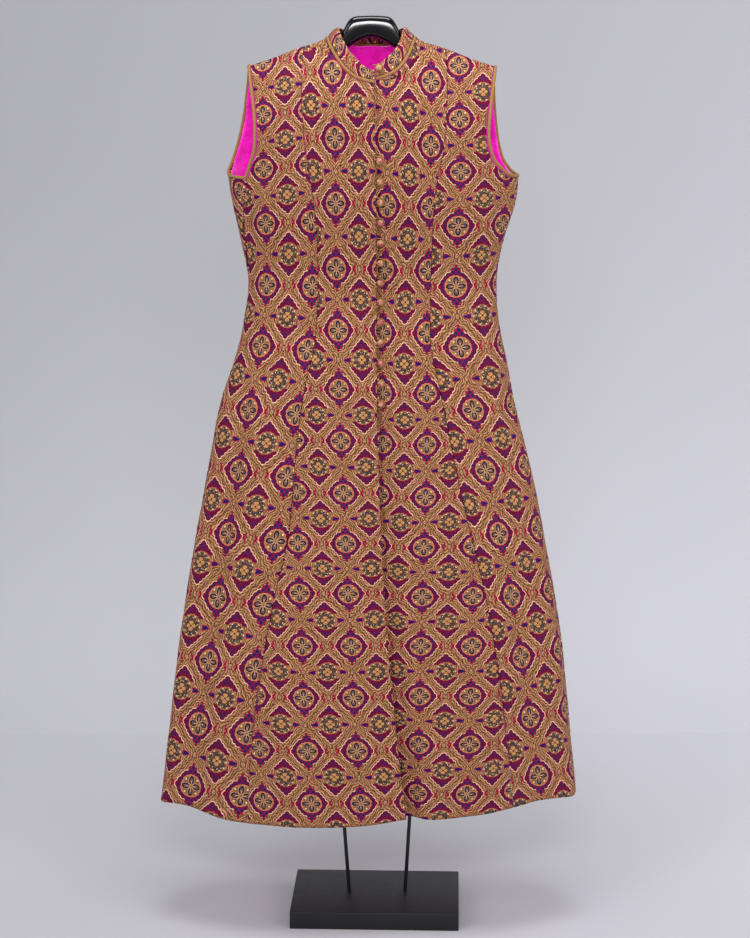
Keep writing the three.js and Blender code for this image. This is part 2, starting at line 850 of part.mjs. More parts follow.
function addForm(stand) {
  const sides = formSides;
  const rows = [...formShape.slice(1).reverse().map((row) => ({ ...row, out: -row.out })), ...formShape];
  const positions = [];
  const triangles = [];
  rows.forEach(({ out, top, bottom, depth }) => {
    for (let step = 0; step < sides; step += 1) {
      const angle = (2 * Math.PI * step) / sides;
      const y = depth * signedPower(Math.cos(angle), formPower);
      const z = (top + bottom) / 2 + ((top - bottom) / 2) * signedPower(Math.sin(angle), formPower);
      positions.push(centreX + out, y, z);
    }
  });
  for (let ring = 0; ring < rows.length - 1; ring += 1) {
    for (let step = 0; step < sides; step += 1) {
      const here = ring * sides;
      const there = here + sides;
      const turned = (step + 1) % sides;
      triangles.push(here + step, here + turned, there + turned);
      triangles.push(here + step, there + turned, there + step);
    }
  }
  const far = (rows.length - 1) * sides;
  for (let step = 1; step < sides - 1; step += 1) {
    triangles.push(0, step + 1, step, far, far + step, far + step + 1);
  }
  stand.add(mesh('shoulder_form', solid(positions, triangles), { color: colours.black, roughness: 0.15 }));
}

function addRod(stand, name, [footX, headX]) {
  const under = valueAt(formShape, 'bottom', Math.abs(headX - centreX), 'out');
  const foot = new THREE.Vector3(footX, 0, base.height + 2 * seamGap);
  const head = new THREE.Vector3(headX, 0, under - 4 * seamGap);
  const axis = head.clone().sub(foot);
  const geometry = new THREE.CylinderGeometry(rod.radius, rod.radius, axis.length(), 12);
  const piece = mesh(name, geometry, { color: colours.black, roughness: 0.4, metalness: 0.6 });
  piece.position.copy(foot).addScaledVector(axis, 0.5);
  piece.quaternion.setFromUnitVectors(new THREE.Vector3(0, 1, 0), axis.normalize());
  stand.add(piece);
}

function addBase(stand) {
  const [x, y] = [base.width / 2 - base.chamfer, base.depth / 2 - base.chamfer];
  const outline = new THREE.Shape();
  outline.moveTo(-x, -y).lineTo(x, -y).lineTo(x, y).lineTo(-x, y);
  outline.closePath();
  const geometry = new THREE.ExtrudeGeometry(outline, {
    depth: base.height - 2 * base.chamfer,
    bevelThickness: base.chamfer,
    bevelSize: base.chamfer,
    bevelSegments: 1,
  });
  geometry.translate(0, 0, base.chamfer);
  const piece = mesh('stand_base', geometry, { color: colours.black, roughness: 0.5 });
  piece.rotation.z = THREE.MathUtils.degToRad(-base.turn);
  stand.add(piece);
}

function makeRobe() {
  const robe = new THREE.Group();
  const plan = collarPlan();
  addPanels(robe);
  addLining(robe);
  addArmholePiping(robe, 'armhole_piping_right', rightSideEdge(armholeFrontRight),
    rightSideEdge(armholeBackRight));
  addArmholePiping(robe, 'armhole_piping_left', leftSideEdge(armholeFrontLeft, 1),
    leftSideEdge(armholeBackLeft, -3));
  addCollar(robe, plan);
  addFrontButtons(robe);
  addCollarButton(robe, plan);
  return robe;
}

function makeStand() {
  const stand = new THREE.Group();
  addBase(stand);
  addRod(stand, 'stand_rod_right', rod.right);
  addRod(stand, 'stand_rod_left', rod.left);
  addForm(stand);
  return stand;
}

const part = new THREE.Group();
part.add(makeRobe(), makeStand());

export default part;
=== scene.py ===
import bpy, bmesh, math
import numpy as np
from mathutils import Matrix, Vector


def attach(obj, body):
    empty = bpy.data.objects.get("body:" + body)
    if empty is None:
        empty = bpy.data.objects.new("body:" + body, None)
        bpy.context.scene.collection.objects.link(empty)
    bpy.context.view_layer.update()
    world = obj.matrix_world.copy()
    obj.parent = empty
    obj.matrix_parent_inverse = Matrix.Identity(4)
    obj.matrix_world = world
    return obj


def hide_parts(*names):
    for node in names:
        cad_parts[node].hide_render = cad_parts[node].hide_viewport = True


# An embroidered sleeveless robe on its display stand. Cloth is worked out in millimetres
# and made in metres. -Y is the front, +X the wearer's left.
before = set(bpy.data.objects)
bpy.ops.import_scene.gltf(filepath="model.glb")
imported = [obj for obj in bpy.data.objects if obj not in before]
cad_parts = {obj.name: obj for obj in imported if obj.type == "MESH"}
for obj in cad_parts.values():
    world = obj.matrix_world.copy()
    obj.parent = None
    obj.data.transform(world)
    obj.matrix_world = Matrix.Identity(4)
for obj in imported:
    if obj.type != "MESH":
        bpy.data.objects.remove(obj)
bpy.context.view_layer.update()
for item in bpy.context.selected_objects:
    item.select_set(False)


cloth = {"wall": 2.4, "liningWall": 1.0, "seamGap": 0.3, "pipingRadius": 2.6, "pipingGap": 0.5}
shape = {"centreX": -8, "roundness": 2.2, "shoulderFall": 150, "hem": 200, "hemFade": 250,
         "armpit": 1276, "neck": 1434, "top": 1489, "shoulder": 1380, "lap": 12}

body = {
    "z": [195, 344, 487, 628, 767, 904, 972, 1040, 1107, 1173, 1239, 1290, 1380, 1440, 1530],
    "right": [366, 348, 329, 306, 280, 253, 230, 213, 205, 216, 230, 236, 235, 232, 232],
    "left": [358, 343, 327, 303, 275, 241, 227, 213, 209, 220, 239, 242, 238, 232, 232],
    "front": [142, 138, 130, 120, 110, 99, 90, 80, 75, 82, 91, 94, 93, 90, 88],
    "back": [140, 136, 129, 121, 113, 103, 91, 76, 68, 74, 83, 87, 86, 82, 80],
}
shoulderLine = {"out": [0, 74, 87, 111, 130, 165, 205, 260],
                "z": [1522, 1502, 1496, 1489, 1482.5, 1469, 1456, 1438]}
centreFront = {"z": [195, 291, 396, 522, 692, 902, 1246, 1440], "x": [53, 41, 31, 19, 9, 2, 0, -4]}
princessRight = {
    "z": [195, 378, 561, 694, 848, 940, 1010, 1084, 1182, 1246, 1326, 1405, 1530],
    "x": [-219, -205, -175, -146, -131, -117, -101, -96, -96, -102, -114, -120, -118]}
princessLeft = {
    "z": [195, 326, 467, 594, 758, 884, 951, 1010, 1156, 1257, 1339, 1431, 1530],
    "x": [236, 221, 204, 181, 142, 116, 102, 90, 91, 96, 111, 115, 113]}
sideSeamRight = {"z": [195, 1040, 1157, 1276], "turn": [-1, -1, -0.87, -0.643]}
armholeFrontRight = {
    "level": [1276, 1298, 1325, 1350, 1385, 1420, 1489],
    "x": [-211, -204, -196, -194, -194, -197, -205],
    "z": [1276, 1296, 1320, 1340, 1372, 1402, 1458.6]}
armholeFrontLeft = {
    "level": [1276, 1281, 1290, 1308, 1330, 1360, 1420, 1489],
    "x": [234, 221, 207, 191, 183, 179.5, 184, 192],
    "z": [1276, 1279, 1288, 1305, 1325, 1350, 1404, 1457.6]}
armholeBackRight = {
    "level": [1276, 1281, 1290, 1308, 1340, 1380, 1420, 1489],
    "turn": [-0.643, -0.82, -1.02, -1.17, -1.255, -1.315, -1.34, -1.371],
    "z": [1276, 1277, 1282, 1300, 1330, 1368, 1402, 1458.6]}
armholeBackLeft = {
    "level": [1276, 1281, 1290, 1308, 1340, 1380, 1420, 1489],
    "turn": [-3, -2.87, -2.78, -2.7, -2.655, -2.635, -2.63, -2.645],
    "z": [1276, 1279, 1286, 1302, 1330, 1368, 1402, 1457.6]}
neckRight = {"level": [1434, 1446, 1457, 1469, 1480, 1489],
             "x": [-4, -31, -52, -68, -77, -82], "z": [1431, 1438, 1453, 1474, 1490, 1502]}
neckLeft = {"level": [1434, 1446, 1457, 1469, 1480, 1489],
            "x": [-14, 14, 37, 54, 61, 66], "z": [1434, 1440, 1452.5, 1474, 1490, 1502]}
backNeck = {"turn": 0.1785, "middle": 1488, "rise": 14, "halfWidth": 74, "bend": 2.4}
hemLine = {"x": [-374, -345, -300, -250, -150, -40, 50, 120, 230, 300, 350],
           "lift": [8, 15, 11, 2, 0, 1, 10, 13, 24, 28, 21]}
valley = {"z": [195, 450, 700, 900, 1080, 1200, 1300, 1530], "depth": [22, 18, 12, 9, 9, 3, 0, 0]}
overDip = {"share": 0.4, "width": 35}
underDip = {"middle": 6, "width": 22, "level": 8, "rise": 22}
folds = {
    "turn": [-0.83, -0.62, -0.2, 0.34, 0.56, 0.8, -1.3, -1.52, -1.8, -2.08, -2.36, -2.64],
    "width": [0.09, 0.07, 0.1, 0.09, 0.07, 0.08, 0.08, 0.1, 0.08, 0.09, 0.08, 0.1],
    "out": [7, -5, 6, 6, -6, 6, -8, 9, -9, 8, -9, 8],
    "starts": [980, 1060, 860, 900, 1000, 940, 960, 1000, 1040, 980, 1040, 940],
    "full": [420, 700, 320, 350, 560, 380, 380, 420, 360, 300, 400, 380],
}
levels = [200, 290, 390, 500, 610, 720, 820, 900, 960, 1010, 1060, 1110, 1160, 1210, 1245,
          1276, 1281, 1290, 1308, 1330, 1360, 1395, 1434, 1440, 1446, 1451, 1457,
          1463, 1469, 1475, 1480, 1484, 1487, 1488.4, 1489]


def smooth(value):
    t = np.clip(value, 0, 1)
    return t * t * (3 - 2 * t)


def signedPower(value, power):
    return np.sign(value) * np.abs(value) ** power


def unit(vectors):
    return vectors / np.linalg.norm(vectors, axis=-1, keepdims=True)


def valueAt(table, column, place, key="z"):  # reads between a table's rows, along a smooth curve
    keys, values = np.array(table[key], float), np.array(table[column], float)
    place = np.asarray(place, float)
    row = np.minimum(np.searchsorted(keys[1:], place), len(keys) - 2)
    after = np.minimum(row + 2, len(keys) - 1)
    before = np.maximum(row - 1, 0)
    span = keys[row + 1] - keys[row]
    t = np.clip((place - keys[row]) / span, 0, 1)
    slopeFrom = (values[row + 1] - values[before]) / (keys[row + 1] - keys[before])
    slopeTo = (values[after] - values[row]) / (keys[after] - keys[row])
    bend = t * (1 - t) * span
    ease = t * t * (3 - 2 * t)
    return values[row] + (values[row + 1] - values[row]) * ease + bend * ((1 - t) * slopeFrom - t * slopeTo)


def halfWidthAt(across, z):
    return np.where(across < 0, valueAt(body, "right", z), valueAt(body, "left", z))


def shoulderHeight(x):
    return valueAt(shoulderLine, "z", np.abs(x - shape["centreX"]), "out")


def xAt(turn, z):
    across = signedPower(np.sin(turn * math.pi / 2), 2 / shape["roundness"])
    return shape["centreX"] + halfWidthAt(across, z) * across


def turnAt(x, z):  # the turn of a point on the front, from its x
    across = (x - shape["centreX"]) / halfWidthAt(x - shape["centreX"], z)
    sine = np.minimum(1, np.abs(across) ** (shape["roundness"] / 2))
    return np.sign(across) * np.arcsin(sine) * 2 / math.pi


def foldAt(turn, z):
    out = 0
    for middle, width, rise, starts, full in zip(*folds.values()):
        aside = (turn - middle) / width
        out = out + rise * np.exp(-aside ** 2) * smooth((starts - z) / (starts - full))
    return out


def bodyPoint(turn, z, inset=0.0):
    turn, z = np.broadcast_arrays(np.asarray(turn, float), np.asarray(z, float))
    across = signedPower(np.sin(turn * math.pi / 2), 2 / shape["roundness"])
    ahead = signedPower(np.cos(turn * math.pi / 2), 2 / shape["roundness"])
    halfWidth = halfWidthAt(across, z)
    depth = np.where(ahead > 0, valueAt(body, "front", z), valueAt(body, "back", z))
    drop = np.clip((shoulderHeight(shape["centreX"] + halfWidth * across) - z) / shape["shoulderFall"], 0, 1)
    closing = np.sqrt(1 - (1 - drop) ** 2)
    outX, outY = across / halfWidth, -ahead / depth
    length = np.hypot(outX, outY)
    reach = foldAt(turn, z) - inset
    x = shape["centreX"] + halfWidth * across + outX / length * reach
    y = -depth * ahead * closing + outY / length * reach
    return np.stack([x, y, z], -1)


def frontEdgeX(z):
    return valueAt(centreFront, "x", z)


def overlapFace(turn, z):  # the wearer's right front sinks a little beside its edge
    aside = (xAt(turn, z) - frontEdgeX(z)) / overDip["width"]
    return bodyPoint(turn, z, overDip["share"] * valueAt(valley, "depth", z) * np.exp(-aside ** 2))


def underlapFace(turn, z):  # the left front passes under it and rises out of the valley
    beside = xAt(turn, z) - frontEdgeX(z)
    deep = 1 - smooth((beside - underDip["level"]) / underDip["rise"])
    under = (cloth["wall"] + 2 * cloth["seamGap"]) * deep
    aside = (beside - underDip["middle"]) / underDip["width"]
    return bodyPoint(turn, z, under + valueAt(valley, "depth", z) * np.exp(-aside ** 2))


def normalOf(face, turn, z):
    beside = face(turn + 0.001, z) - face(turn - 0.001, z)
    upward = face(turn, z) - face(turn, z - 0.05)
    return unit(np.cross(beside, upward))


def seamEdge(table):
    return lambda level: (turnAt(valueAt(table, "x", level), level), level)


def bentEdge(table, level):
    z = valueAt(table, "z", level, "level")
    if "turn" in table:
        return valueAt(table, "turn", level, "level"), z
    return turnAt(valueAt(table, "x", level, "level"), z), z


def eitherEdge(level, limit, above, below):
    return tuple(np.where(level > limit, high, low) for high, low in zip(above, below))


def rightSeam(level):
    return valueAt(sideSeamRight, "turn", level), level


def upright(turn):  # an edge at one turn
    return lambda level: (np.full_like(level, turn), level)


def sideEdge(armhole, seam):  # the side seam, and the armhole above it
    return lambda level: eitherEdge(level, shape["armpit"], bentEdge(armhole, level), seam(level))


def rightFrontEdge(level):
    low = (turnAt(frontEdgeX(level), level), np.minimum(level, neckRight["z"][0]))
    return eitherEdge(level, shape["neck"], bentEdge(neckRight, level), low)


def leftFrontEdge(level):
    low = (turnAt(frontEdgeX(level) - shape["lap"], level), level)
    return eitherEdge(level, shape["neck"], bentEdge(neckLeft, level), low)


def edgeBeside(distance, outerEdge, innerEdge):
    def edge(level):
        low = np.minimum(level, shape["neck"])
        start = outerEdge(low)[0]
        share = (turnAt(frontEdgeX(low) + distance, low) - start) / (innerEdge(low)[0] - start)
        outer, inner = outerEdge(level), innerEdge(level)
        return tuple(a + (b - a) * share for a, b in zip(outer, inner))
    return edge


def shoulderTop(turn):
    return shoulderHeight(xAt(turn, float(shape["top"])))


def backTop(turn):
    out = np.abs(xAt(turn, float(shape["top"])) - shape["centreX"])
    neck = backNeck["middle"] + backNeck["rise"] * (out / backNeck["halfWidth"]) ** backNeck["bend"]
    return np.where(out > backNeck["halfWidth"], shoulderTop(turn), neck)


def refine(values, step):
    fine = []
    for low, high in zip(values, values[1:]):
        fine += list(np.linspace(low, high, max(1, round((high - low) / step)), endpoint=False))
    return np.array(fine + [values[-1]], float)


def panelGrid(edges, columns, top, rows):
    rows = np.asarray(rows, float)
    peak = np.array([float(shape["top"])])
    turns, heights = [], []
    for index, count in enumerate(columns):
        (turnA, zA), (turnB, zB) = edges[index](rows), edges[index + 1](rows)
        (topTurnA, topZA), (topTurnB, topZB) = edges[index](peak), edges[index + 1](peak)
        for share in np.linspace(0, 1, count + 1)[(1 if index else 0):]:
            turn = turnA + (turnB - turnA) * share
            missing = top(topTurnA + (topTurnB - topTurnA) * share) - (topZA + (topZB - topZA) * share)
            rise = missing * smooth((rows - shape["shoulder"]) / (shape["top"] - shape["shoulder"]))
            low = 1 - smooth((rows - shape["hem"]) / shape["hemFade"])
            lift = valueAt(hemLine, "lift", xAt(turn, rows), "x") * low
            turns.append(turn)
            heights.append(zA + (zB - zA) * share + rise + lift)
    return np.stack(turns, 1), np.stack(heights, 1)


frontPrincessRight, frontPrincessLeft = seamEdge(princessRight), seamEdge(princessLeft)
panels = {
    "front_right": {"face": overlapFace, "top": shoulderTop, "columns": [34, 8, 5],
                    "edges": [frontPrincessRight, edgeBeside(-40, rightFrontEdge, frontPrincessRight),
                              edgeBeside(-12, rightFrontEdge, frontPrincessRight), rightFrontEdge]},
    "front_left": {"face": underlapFace, "top": shoulderTop, "columns": [4, 6, 8, 32],
                   "edges": [leftFrontEdge, edgeBeside(0, leftFrontEdge, frontPrincessLeft),
                             edgeBeside(14, leftFrontEdge, frontPrincessLeft),
                             edgeBeside(40, leftFrontEdge, frontPrincessLeft), frontPrincessLeft]},
    "side_front_right": {"face": bodyPoint, "top": shoulderTop, "columns": [52],
                         "edges": [sideEdge(armholeFrontRight, rightSeam), frontPrincessRight]},
    "side_front_left": {"face": bodyPoint, "top": shoulderTop, "columns": [52],
                        "edges": [frontPrincessLeft, sideEdge(armholeFrontLeft, upright(1))]},
    "back": {"face": bodyPoint, "top": backTop, "columns": [54, 54, 54],
             "edges": [sideEdge(armholeBackLeft, upright(-3)),
                       upright(-2 - backNeck["turn"]), upright(-2 + backNeck["turn"]),
                       sideEdge(armholeBackRight, rightSeam)]},
}


# main creases: lines from one end to the other, with a width and a rise in mm
creases = {
    "front_right": {
        "x0": [-60, -95, -30, -88, -20, -150, -60, -110, -12],
        "z0": [1400, 1010, 1180, 960, 900, 620, 560, 480, 1425],
        "x1": [-78, -60, -62, -150, -40, -190, -95, -150, -40],
        "z1": [1120, 860, 1040, 640, 610, 250, 230, 215, 1330],
        "width": [16, 15, 13, 20, 18, 22, 24, 18, 9],
        "rise": [2.6, -2.4, -1.8, -3.0, 2.6, 4.0, -3.4, 3.2, -2.0]},
    "front_left": {
        "x0": [60, 96, 48, 80, 130, 60, 150, 95, 70],
        "z0": [1410, 1000, 1150, 950, 760, 700, 560, 470, 1400],
        "x1": [64, 62, 70, 130, 165, 85, 200, 110, 96],
        "z1": [1090, 880, 1030, 620, 420, 330, 240, 215, 1350],
        "width": [15, 14, 12, 20, 17, 22, 20, 22, 12],
        "rise": [2.6, -2.2, -1.8, -2.8, 2.8, -3.4, 3.6, 2.8, -1.8]},
    "side_front_right": {
        "x0": [-210, -205, -150, -170, -215, -250, -190, -300, -240, -190],
        "z0": [1262, 1180, 1060, 980, 1010, 820, 700, 600, 520, 1370],
        "x1": [-209, -150, -112, -150, -245, -290, -215, -345, -265, -160],
        "z1": [1120, 1090, 1010, 760, 700, 420, 300, 230, 215, 1240],
        "width": [8, 13, 11, 16, 15, 22, 20, 18, 20, 16],
        "rise": [-4.2, -2.4, -1.8, -2.6, -3.6, -4.6, 3.8, -5.0, 3.6, -1.8]},
    "side_front_left": {
        "x0": [205, 200, 150, 175, 215, 250, 205, 290, 240, 190],
        "z0": [1262, 1170, 1060, 980, 1000, 800, 690, 620, 500, 1370],
        "x1": [200, 150, 112, 160, 240, 275, 225, 325, 255, 160],
        "z1": [1130, 1080, 1005, 770, 690, 430, 320, 240, 225, 1250],
        "width": [14, 13, 11, 16, 15, 22, 18, 20, 18, 16],
        "rise": [-2.8, -2.2, -1.8, -2.4, -3.4, -4.2, 3.6, -4.4, 3.4, -1.8]},
    "back": {
        "x0": [-120, 100, -30, 30, -180, 170, -80, 60, -210, 200, 0, -150, 130],
        "z0": [1400, 1400, 1180, 1160, 1080, 1090, 960, 930, 800, 760, 700, 600, 560],
        "x1": [-95, 80, -70, 60, -90, 90, -120, 100, -290, 270, -20, -190, 170],
        "z1": [1180, 1160, 1020, 1010, 1000, 1010, 500, 420, 300, 280, 240, 220, 225],
        "width": [18, 17, 14, 15, 14, 14, 24, 22, 26, 24, 26, 20, 22],
        "rise": [-2.6, -2.2, -2.4, -2.0, -2.6, -2.4, 4.6, -4.4, -5.4, 4.8, 4.2, -4.0, 3.8]},
}
pucker = {"rise": 0.45, "reach": 13, "length": 10.5, "seamDip": 0.9, "seamWidth": 2.6}


def creaseAt(rows, x, z):
    total = 0
    for x0, z0, x1, z1, width, rise in zip(*rows.values()):
        alongX, alongZ = x1 - x0, z1 - z0
        share = np.clip(((x - x0) * alongX + (z - z0) * alongZ) / (alongX ** 2 + alongZ ** 2), 0, 1)
        aside = np.hypot(x - x0 - alongX * share, z - z0 - alongZ * share)
        spread = width * (0.75 + 0.6 * share)  # a crease widens as it falls
        swell = np.sin(np.pi * np.clip(share, 0.03, 0.97)) ** 0.7
        total = total + rise * swell * np.exp(-(aside / spread) ** 2)
    return total


def arcFrom(points, column):  # lengths along each row of points, from a column
    steps = np.linalg.norm(np.diff(points, axis=1), axis=2)
    arc = np.concatenate([np.zeros((len(points), 1)), np.cumsum(steps, axis=1)], axis=1)
    return arc - arc[:, column:column + 1]


def pullIn(grid, distance):  # moves the borders of a grid of points in
    for end, near in ((0, 1), (-1, -2)):
        step = grid[:, near] - grid[:, end]
        grid[:, end] += unit(step) * distance
    grid[-1] += unit(grid[-2] - grid[-1]) * distance
    return grid


def newObject(name, points, faces, uv=None, materials=(), slots=None):
    mesh = bpy.data.meshes.new(name)
    mesh.from_pydata([tuple(p) for p in np.asarray(points) / 1000], [], [tuple(f) for f in faces])
    if uv is not None:
        layer = mesh.uv_layers.new(name="pattern")
        corners = np.empty(len(mesh.loops), int)
        mesh.loops.foreach_get("vertex_index", corners)
        layer.data.foreach_set("uv", np.asarray(uv, float)[corners].ravel())
    for material in materials:
        mesh.materials.append(material)
    if slots is not None:
        mesh.polygons.foreach_set("material_index", np.asarray(slots, int))
    mesh.polygons.foreach_set("use_smooth", [True] * len(mesh.polygons))
    mesh.update()
    piece = bpy.data.objects.new(name, mesh)
    bpy.context.scene.collection.objects.link(piece)
    return piece


def settle(piece, node=None):
    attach(piece, "root")
    if node:
        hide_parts(node)


def shellFaces(rows, columns):  # a closed wall: outer grid, middle of the rim, inner grid
    ids = np.arange(rows * columns).reshape(rows, columns)
    outer = np.stack([ids[:-1, :-1], ids[:-1, 1:], ids[1:, 1:], ids[1:, :-1]], -1).reshape(-1, 4)
    inner = outer[:, ::-1] + rows * columns
    ring = np.concatenate([ids[0, :-1], ids[:-1, -1], ids[-1, :0:-1], ids[:0:-1, 0]])
    rim = 2 * rows * columns + np.arange(len(ring))
    after = np.roll(np.arange(len(ring)), -1)
    sides = np.concatenate([
        np.stack([ring, rim, rim[after], ring[after]], -1),
        np.stack([rim, ring + rows * columns, ring[after] + rows * columns, rim[after]], -1)])
    return outer, inner, sides, ring


def clothShell(name, outer, inner, uv, faceMaterial, innerMaterial, rimIn=0.7):
    rows, columns = outer.shape[:2]
    mid = (outer + inner) / 2
    outerFaces, innerFaces, sides, ring = shellFaces(rows, columns)
    rim = mid.reshape(-1, 3)[ring]
    pullIn(outer, rimIn)
    pullIn(inner, rimIn)
    points = np.concatenate([outer.reshape(-1, 3), inner.reshape(-1, 3), rim])
    flatUv = uv.reshape(-1, 2)
    faces = np.concatenate([outerFaces, innerFaces, sides])
    slots = np.concatenate([np.zeros(len(outerFaces)), np.ones(len(innerFaces)), np.zeros(len(sides))])
    return newObject(name, points, faces, np.concatenate([flatUv, flatUv, flatUv[ring]]),
                     (faceMaterial, innerMaterial), slots)


def tangents(points, closed=False):  # towards the next point, and along the line
    if closed:
        ahead, behind = np.roll(points, -1, 0) - points, points - np.roll(points, 1, 0)
    else:
        steps = np.diff(points, axis=0)
        ahead, behind = np.vstack([steps, steps[-1:]]), np.vstack([steps[:1], steps])
    return unit(ahead), unit(unit(ahead) + unit(behind))


def tubeFaces(rings, sides, closed=False):  # with two ends, unless it is closed
    ids = np.arange(rings * sides).reshape(rings, sides)
    turned, there = np.roll(ids, -1, 1), np.roll(ids, -1, 0)
    faces = np.stack([ids, turned, np.roll(there, -1, 1), there], -1)
    if closed:
        return [tuple(face) for face in faces.reshape(-1, 4)]
    return [tuple(face) for face in faces[:-1].reshape(-1, 4)] + [tuple(ids[0][::-1]), tuple(ids[-1])]


def cordShell(name, points, ups, radius, sides, closed, material):
    points, ups = np.asarray(points, float), np.asarray(ups, float)
    count = len(points)
    _, along = tangents(points, closed)
    side = unit(np.cross(ups, along))
    up = np.cross(along, side)
    angle = 2 * np.pi * np.arange(sides) / sides
    rings = points[:, None] + radius * (side[:, None] * np.cos(angle)[None, :, None]
                                        + up[:, None] * np.sin(angle)[None, :, None])
    length = np.concatenate([[0], np.cumsum(np.linalg.norm(np.diff(points, axis=0), axis=1))])
    uv = []
    total = length[-1] + (np.linalg.norm(points[0] - points[-1]) if closed else 0)
    for ring in range(count if closed else count - 1):
        there = (ring + 1) % count
        ends = length[ring], (total if there == 0 else length[there])
        for step in range(sides):
            uv += [(step / sides, ends[0]), ((step + 1) / sides, ends[0]),
                   ((step + 1) / sides, ends[1]), (step / sides, ends[1])]
    if not closed:
        uv += [(0.5, length[0])] * sides + [(0.5, length[-1])] * sides
    faces = tubeFaces(count, sides, closed)
    piece = newObject(name, rings.reshape(-1, 3), faces, materials=(material,))
    layer = piece.data.uv_layers.new(name="pattern")
    layer.data.foreach_set("uv", np.array(uv).ravel())
    return piece


def smoothLine(points, step):  # a finer line through points, along a rounded curve
    points = np.asarray(points, float)
    padded = np.vstack([2 * points[0] - points[1], points, 2 * points[-1] - points[-2]])
    out = []
    for index in range(len(points) - 1):
        a, b, c, d = padded[index:index + 4]
        count = max(1, round(np.linalg.norm(c - b) / step))
        for t in np.linspace(0, 1, count, endpoint=False):
            out.append(0.5 * (2 * b + (c - a) * t + (2 * a - 5 * b + 4 * c - d) * t ** 2
                              + (3 * b - a - 3 * c + d) * t ** 3))
    return np.array(out + [points[-1]])


# materials
class Wire:  # a number in a node tree, so that a formula reads as one
    def __init__(self, tree, socket):
        self.tree, self.socket = tree, socket

    def put(self, operation, *values):
        node = self.tree.nodes.new("ShaderNodeMath")
        node.operation = operation
        for slot, value in zip(node.inputs, (self, *values)):
            if isinstance(value, Wire):
                self.tree.links.new(value.socket, slot)
            else:
                slot.default_value = value
        return Wire(self.tree, node.outputs[0])

    def __add__(self, other):
        return self.put("ADD", other)

    def __sub__(self, other):
        return self.put("SUBTRACT", other)

    def __mul__(self, other):
        return self.put("MULTIPLY", other)

    def __abs__(self):
        return self.put("ABSOLUTE")

    def rounded(self):
        return self.put("ROUND")

    def sine(self):
        return self.put("SINE")

    def cosine(self):
        return self.put("COSINE")

    def power(self, exponent):
        return self.put("POWER", exponent)

    def least(self, other):
        return self.put("MINIMUM", other)

    def most(self, other):
        return self.put("MAXIMUM", other)

    def inverse(self):  # one minus it
        return self * -1 + 1

    def under(self, edge, soft):  # 1 below the edge, 0 above, with a soft step
        node = self.tree.nodes.new("ShaderNodeMapRange")
        node.interpolation_type = "SMOOTHSTEP"
        self.tree.links.new((self - edge).socket, node.inputs[0])
        node.inputs[1].default_value, node.inputs[2].default_value = -soft, soft
        node.inputs[3].default_value, node.inputs[4].default_value = 1, 0
        return Wire(self.tree, node.outputs[0])

    def near(self, middle, width, soft):  # 1 within the width of the middle
        return abs(self - middle).under(width, soft)


def distance(x, y):
    return (x * x + y * y).power(0.5)


def linear(code):  # a hex colour as Blender's linear values
    parts = [int(code[i:i + 2], 16) / 255 for i in (0, 2, 4)]
    return [p / 12.92 if p < 0.04045 else ((p + 0.055) / 1.055) ** 2.4 for p in parts]


def paint(tree, below, above, mask):  # lays one colour over another through a mask
    node = tree.nodes.new("ShaderNodeMix")
    node.data_type = "RGBA"
    for value, slot in ((below, node.inputs[6]), (above, node.inputs[7])):
        if isinstance(value, str):
            slot.default_value = (*linear(value), 1)
        else:
            tree.links.new(value, slot)
    tree.links.new(mask.socket, node.inputs[0])
    return node.outputs[2]


def newMaterial(name, ownMap=False):  # with the place of a point, on the piece's own map or in space
    material = bpy.data.materials.new(name)
    material.use_nodes = True
    tree = material.node_tree
    if ownMap:
        node = tree.nodes.new("ShaderNodeUVMap")
        node.uv_map = "pattern"
        return material, tree, node.outputs[0]
    return material, tree, tree.nodes.new("ShaderNodeTexCoord").outputs["Object"]


def partsOf(tree, vector):
    node = tree.nodes.new("ShaderNodeSeparateXYZ")
    tree.links.new(vector, node.inputs[0])
    return [Wire(tree, socket) for socket in node.outputs]


def dress(tree, values):  # a number is set on the shader, and a wire or a colour is linked to it
    shader = tree.nodes["Principled BSDF"]
    for name, value in values.items():
        value = value.socket if isinstance(value, Wire) else value
        if isinstance(value, bpy.types.NodeSocket):
            tree.links.new(value, shader.inputs[name])
        else:
            shader.inputs[name].default_value = value


def noise(tree, vector, scale, detail=2.0, roughness=0.5, output="Fac"):
    node = tree.nodes.new("ShaderNodeTexNoise")
    node.inputs["Scale"].default_value = scale
    node.inputs["Detail"].default_value = detail
    node.inputs["Roughness"].default_value = roughness
    tree.links.new(vector, node.inputs["Vector"])
    return Wire(tree, node.outputs[output])


def bump(tree, height, strength, depth):
    node = tree.nodes.new("ShaderNodeBump")
    node.inputs["Strength"].default_value = strength
    node.inputs["Distance"].default_value = depth
    tree.links.new(height.socket, node.inputs["Height"])
    dress(tree, {"Normal": node.outputs[0]})


embroidery = {
    "gold": "a87843", "goldDeep": "3c1408", "goldPink": "b8605a", "edge": "ffc4a4",
    "ground": "ac003e", "groundDeep": "34002a", "blue": "0a1c58", "navy": "08081e", "rose": "94424a",
    "medal": "86603a", "medalEdge": "d07c60", "dot": "fbe0a0", "arrow": "1c0c56", "red": "92002e",
    "mist": "5e4c5c", "flower": "c08a58", "relief": 0.0026, "wobble": 0.035,
}


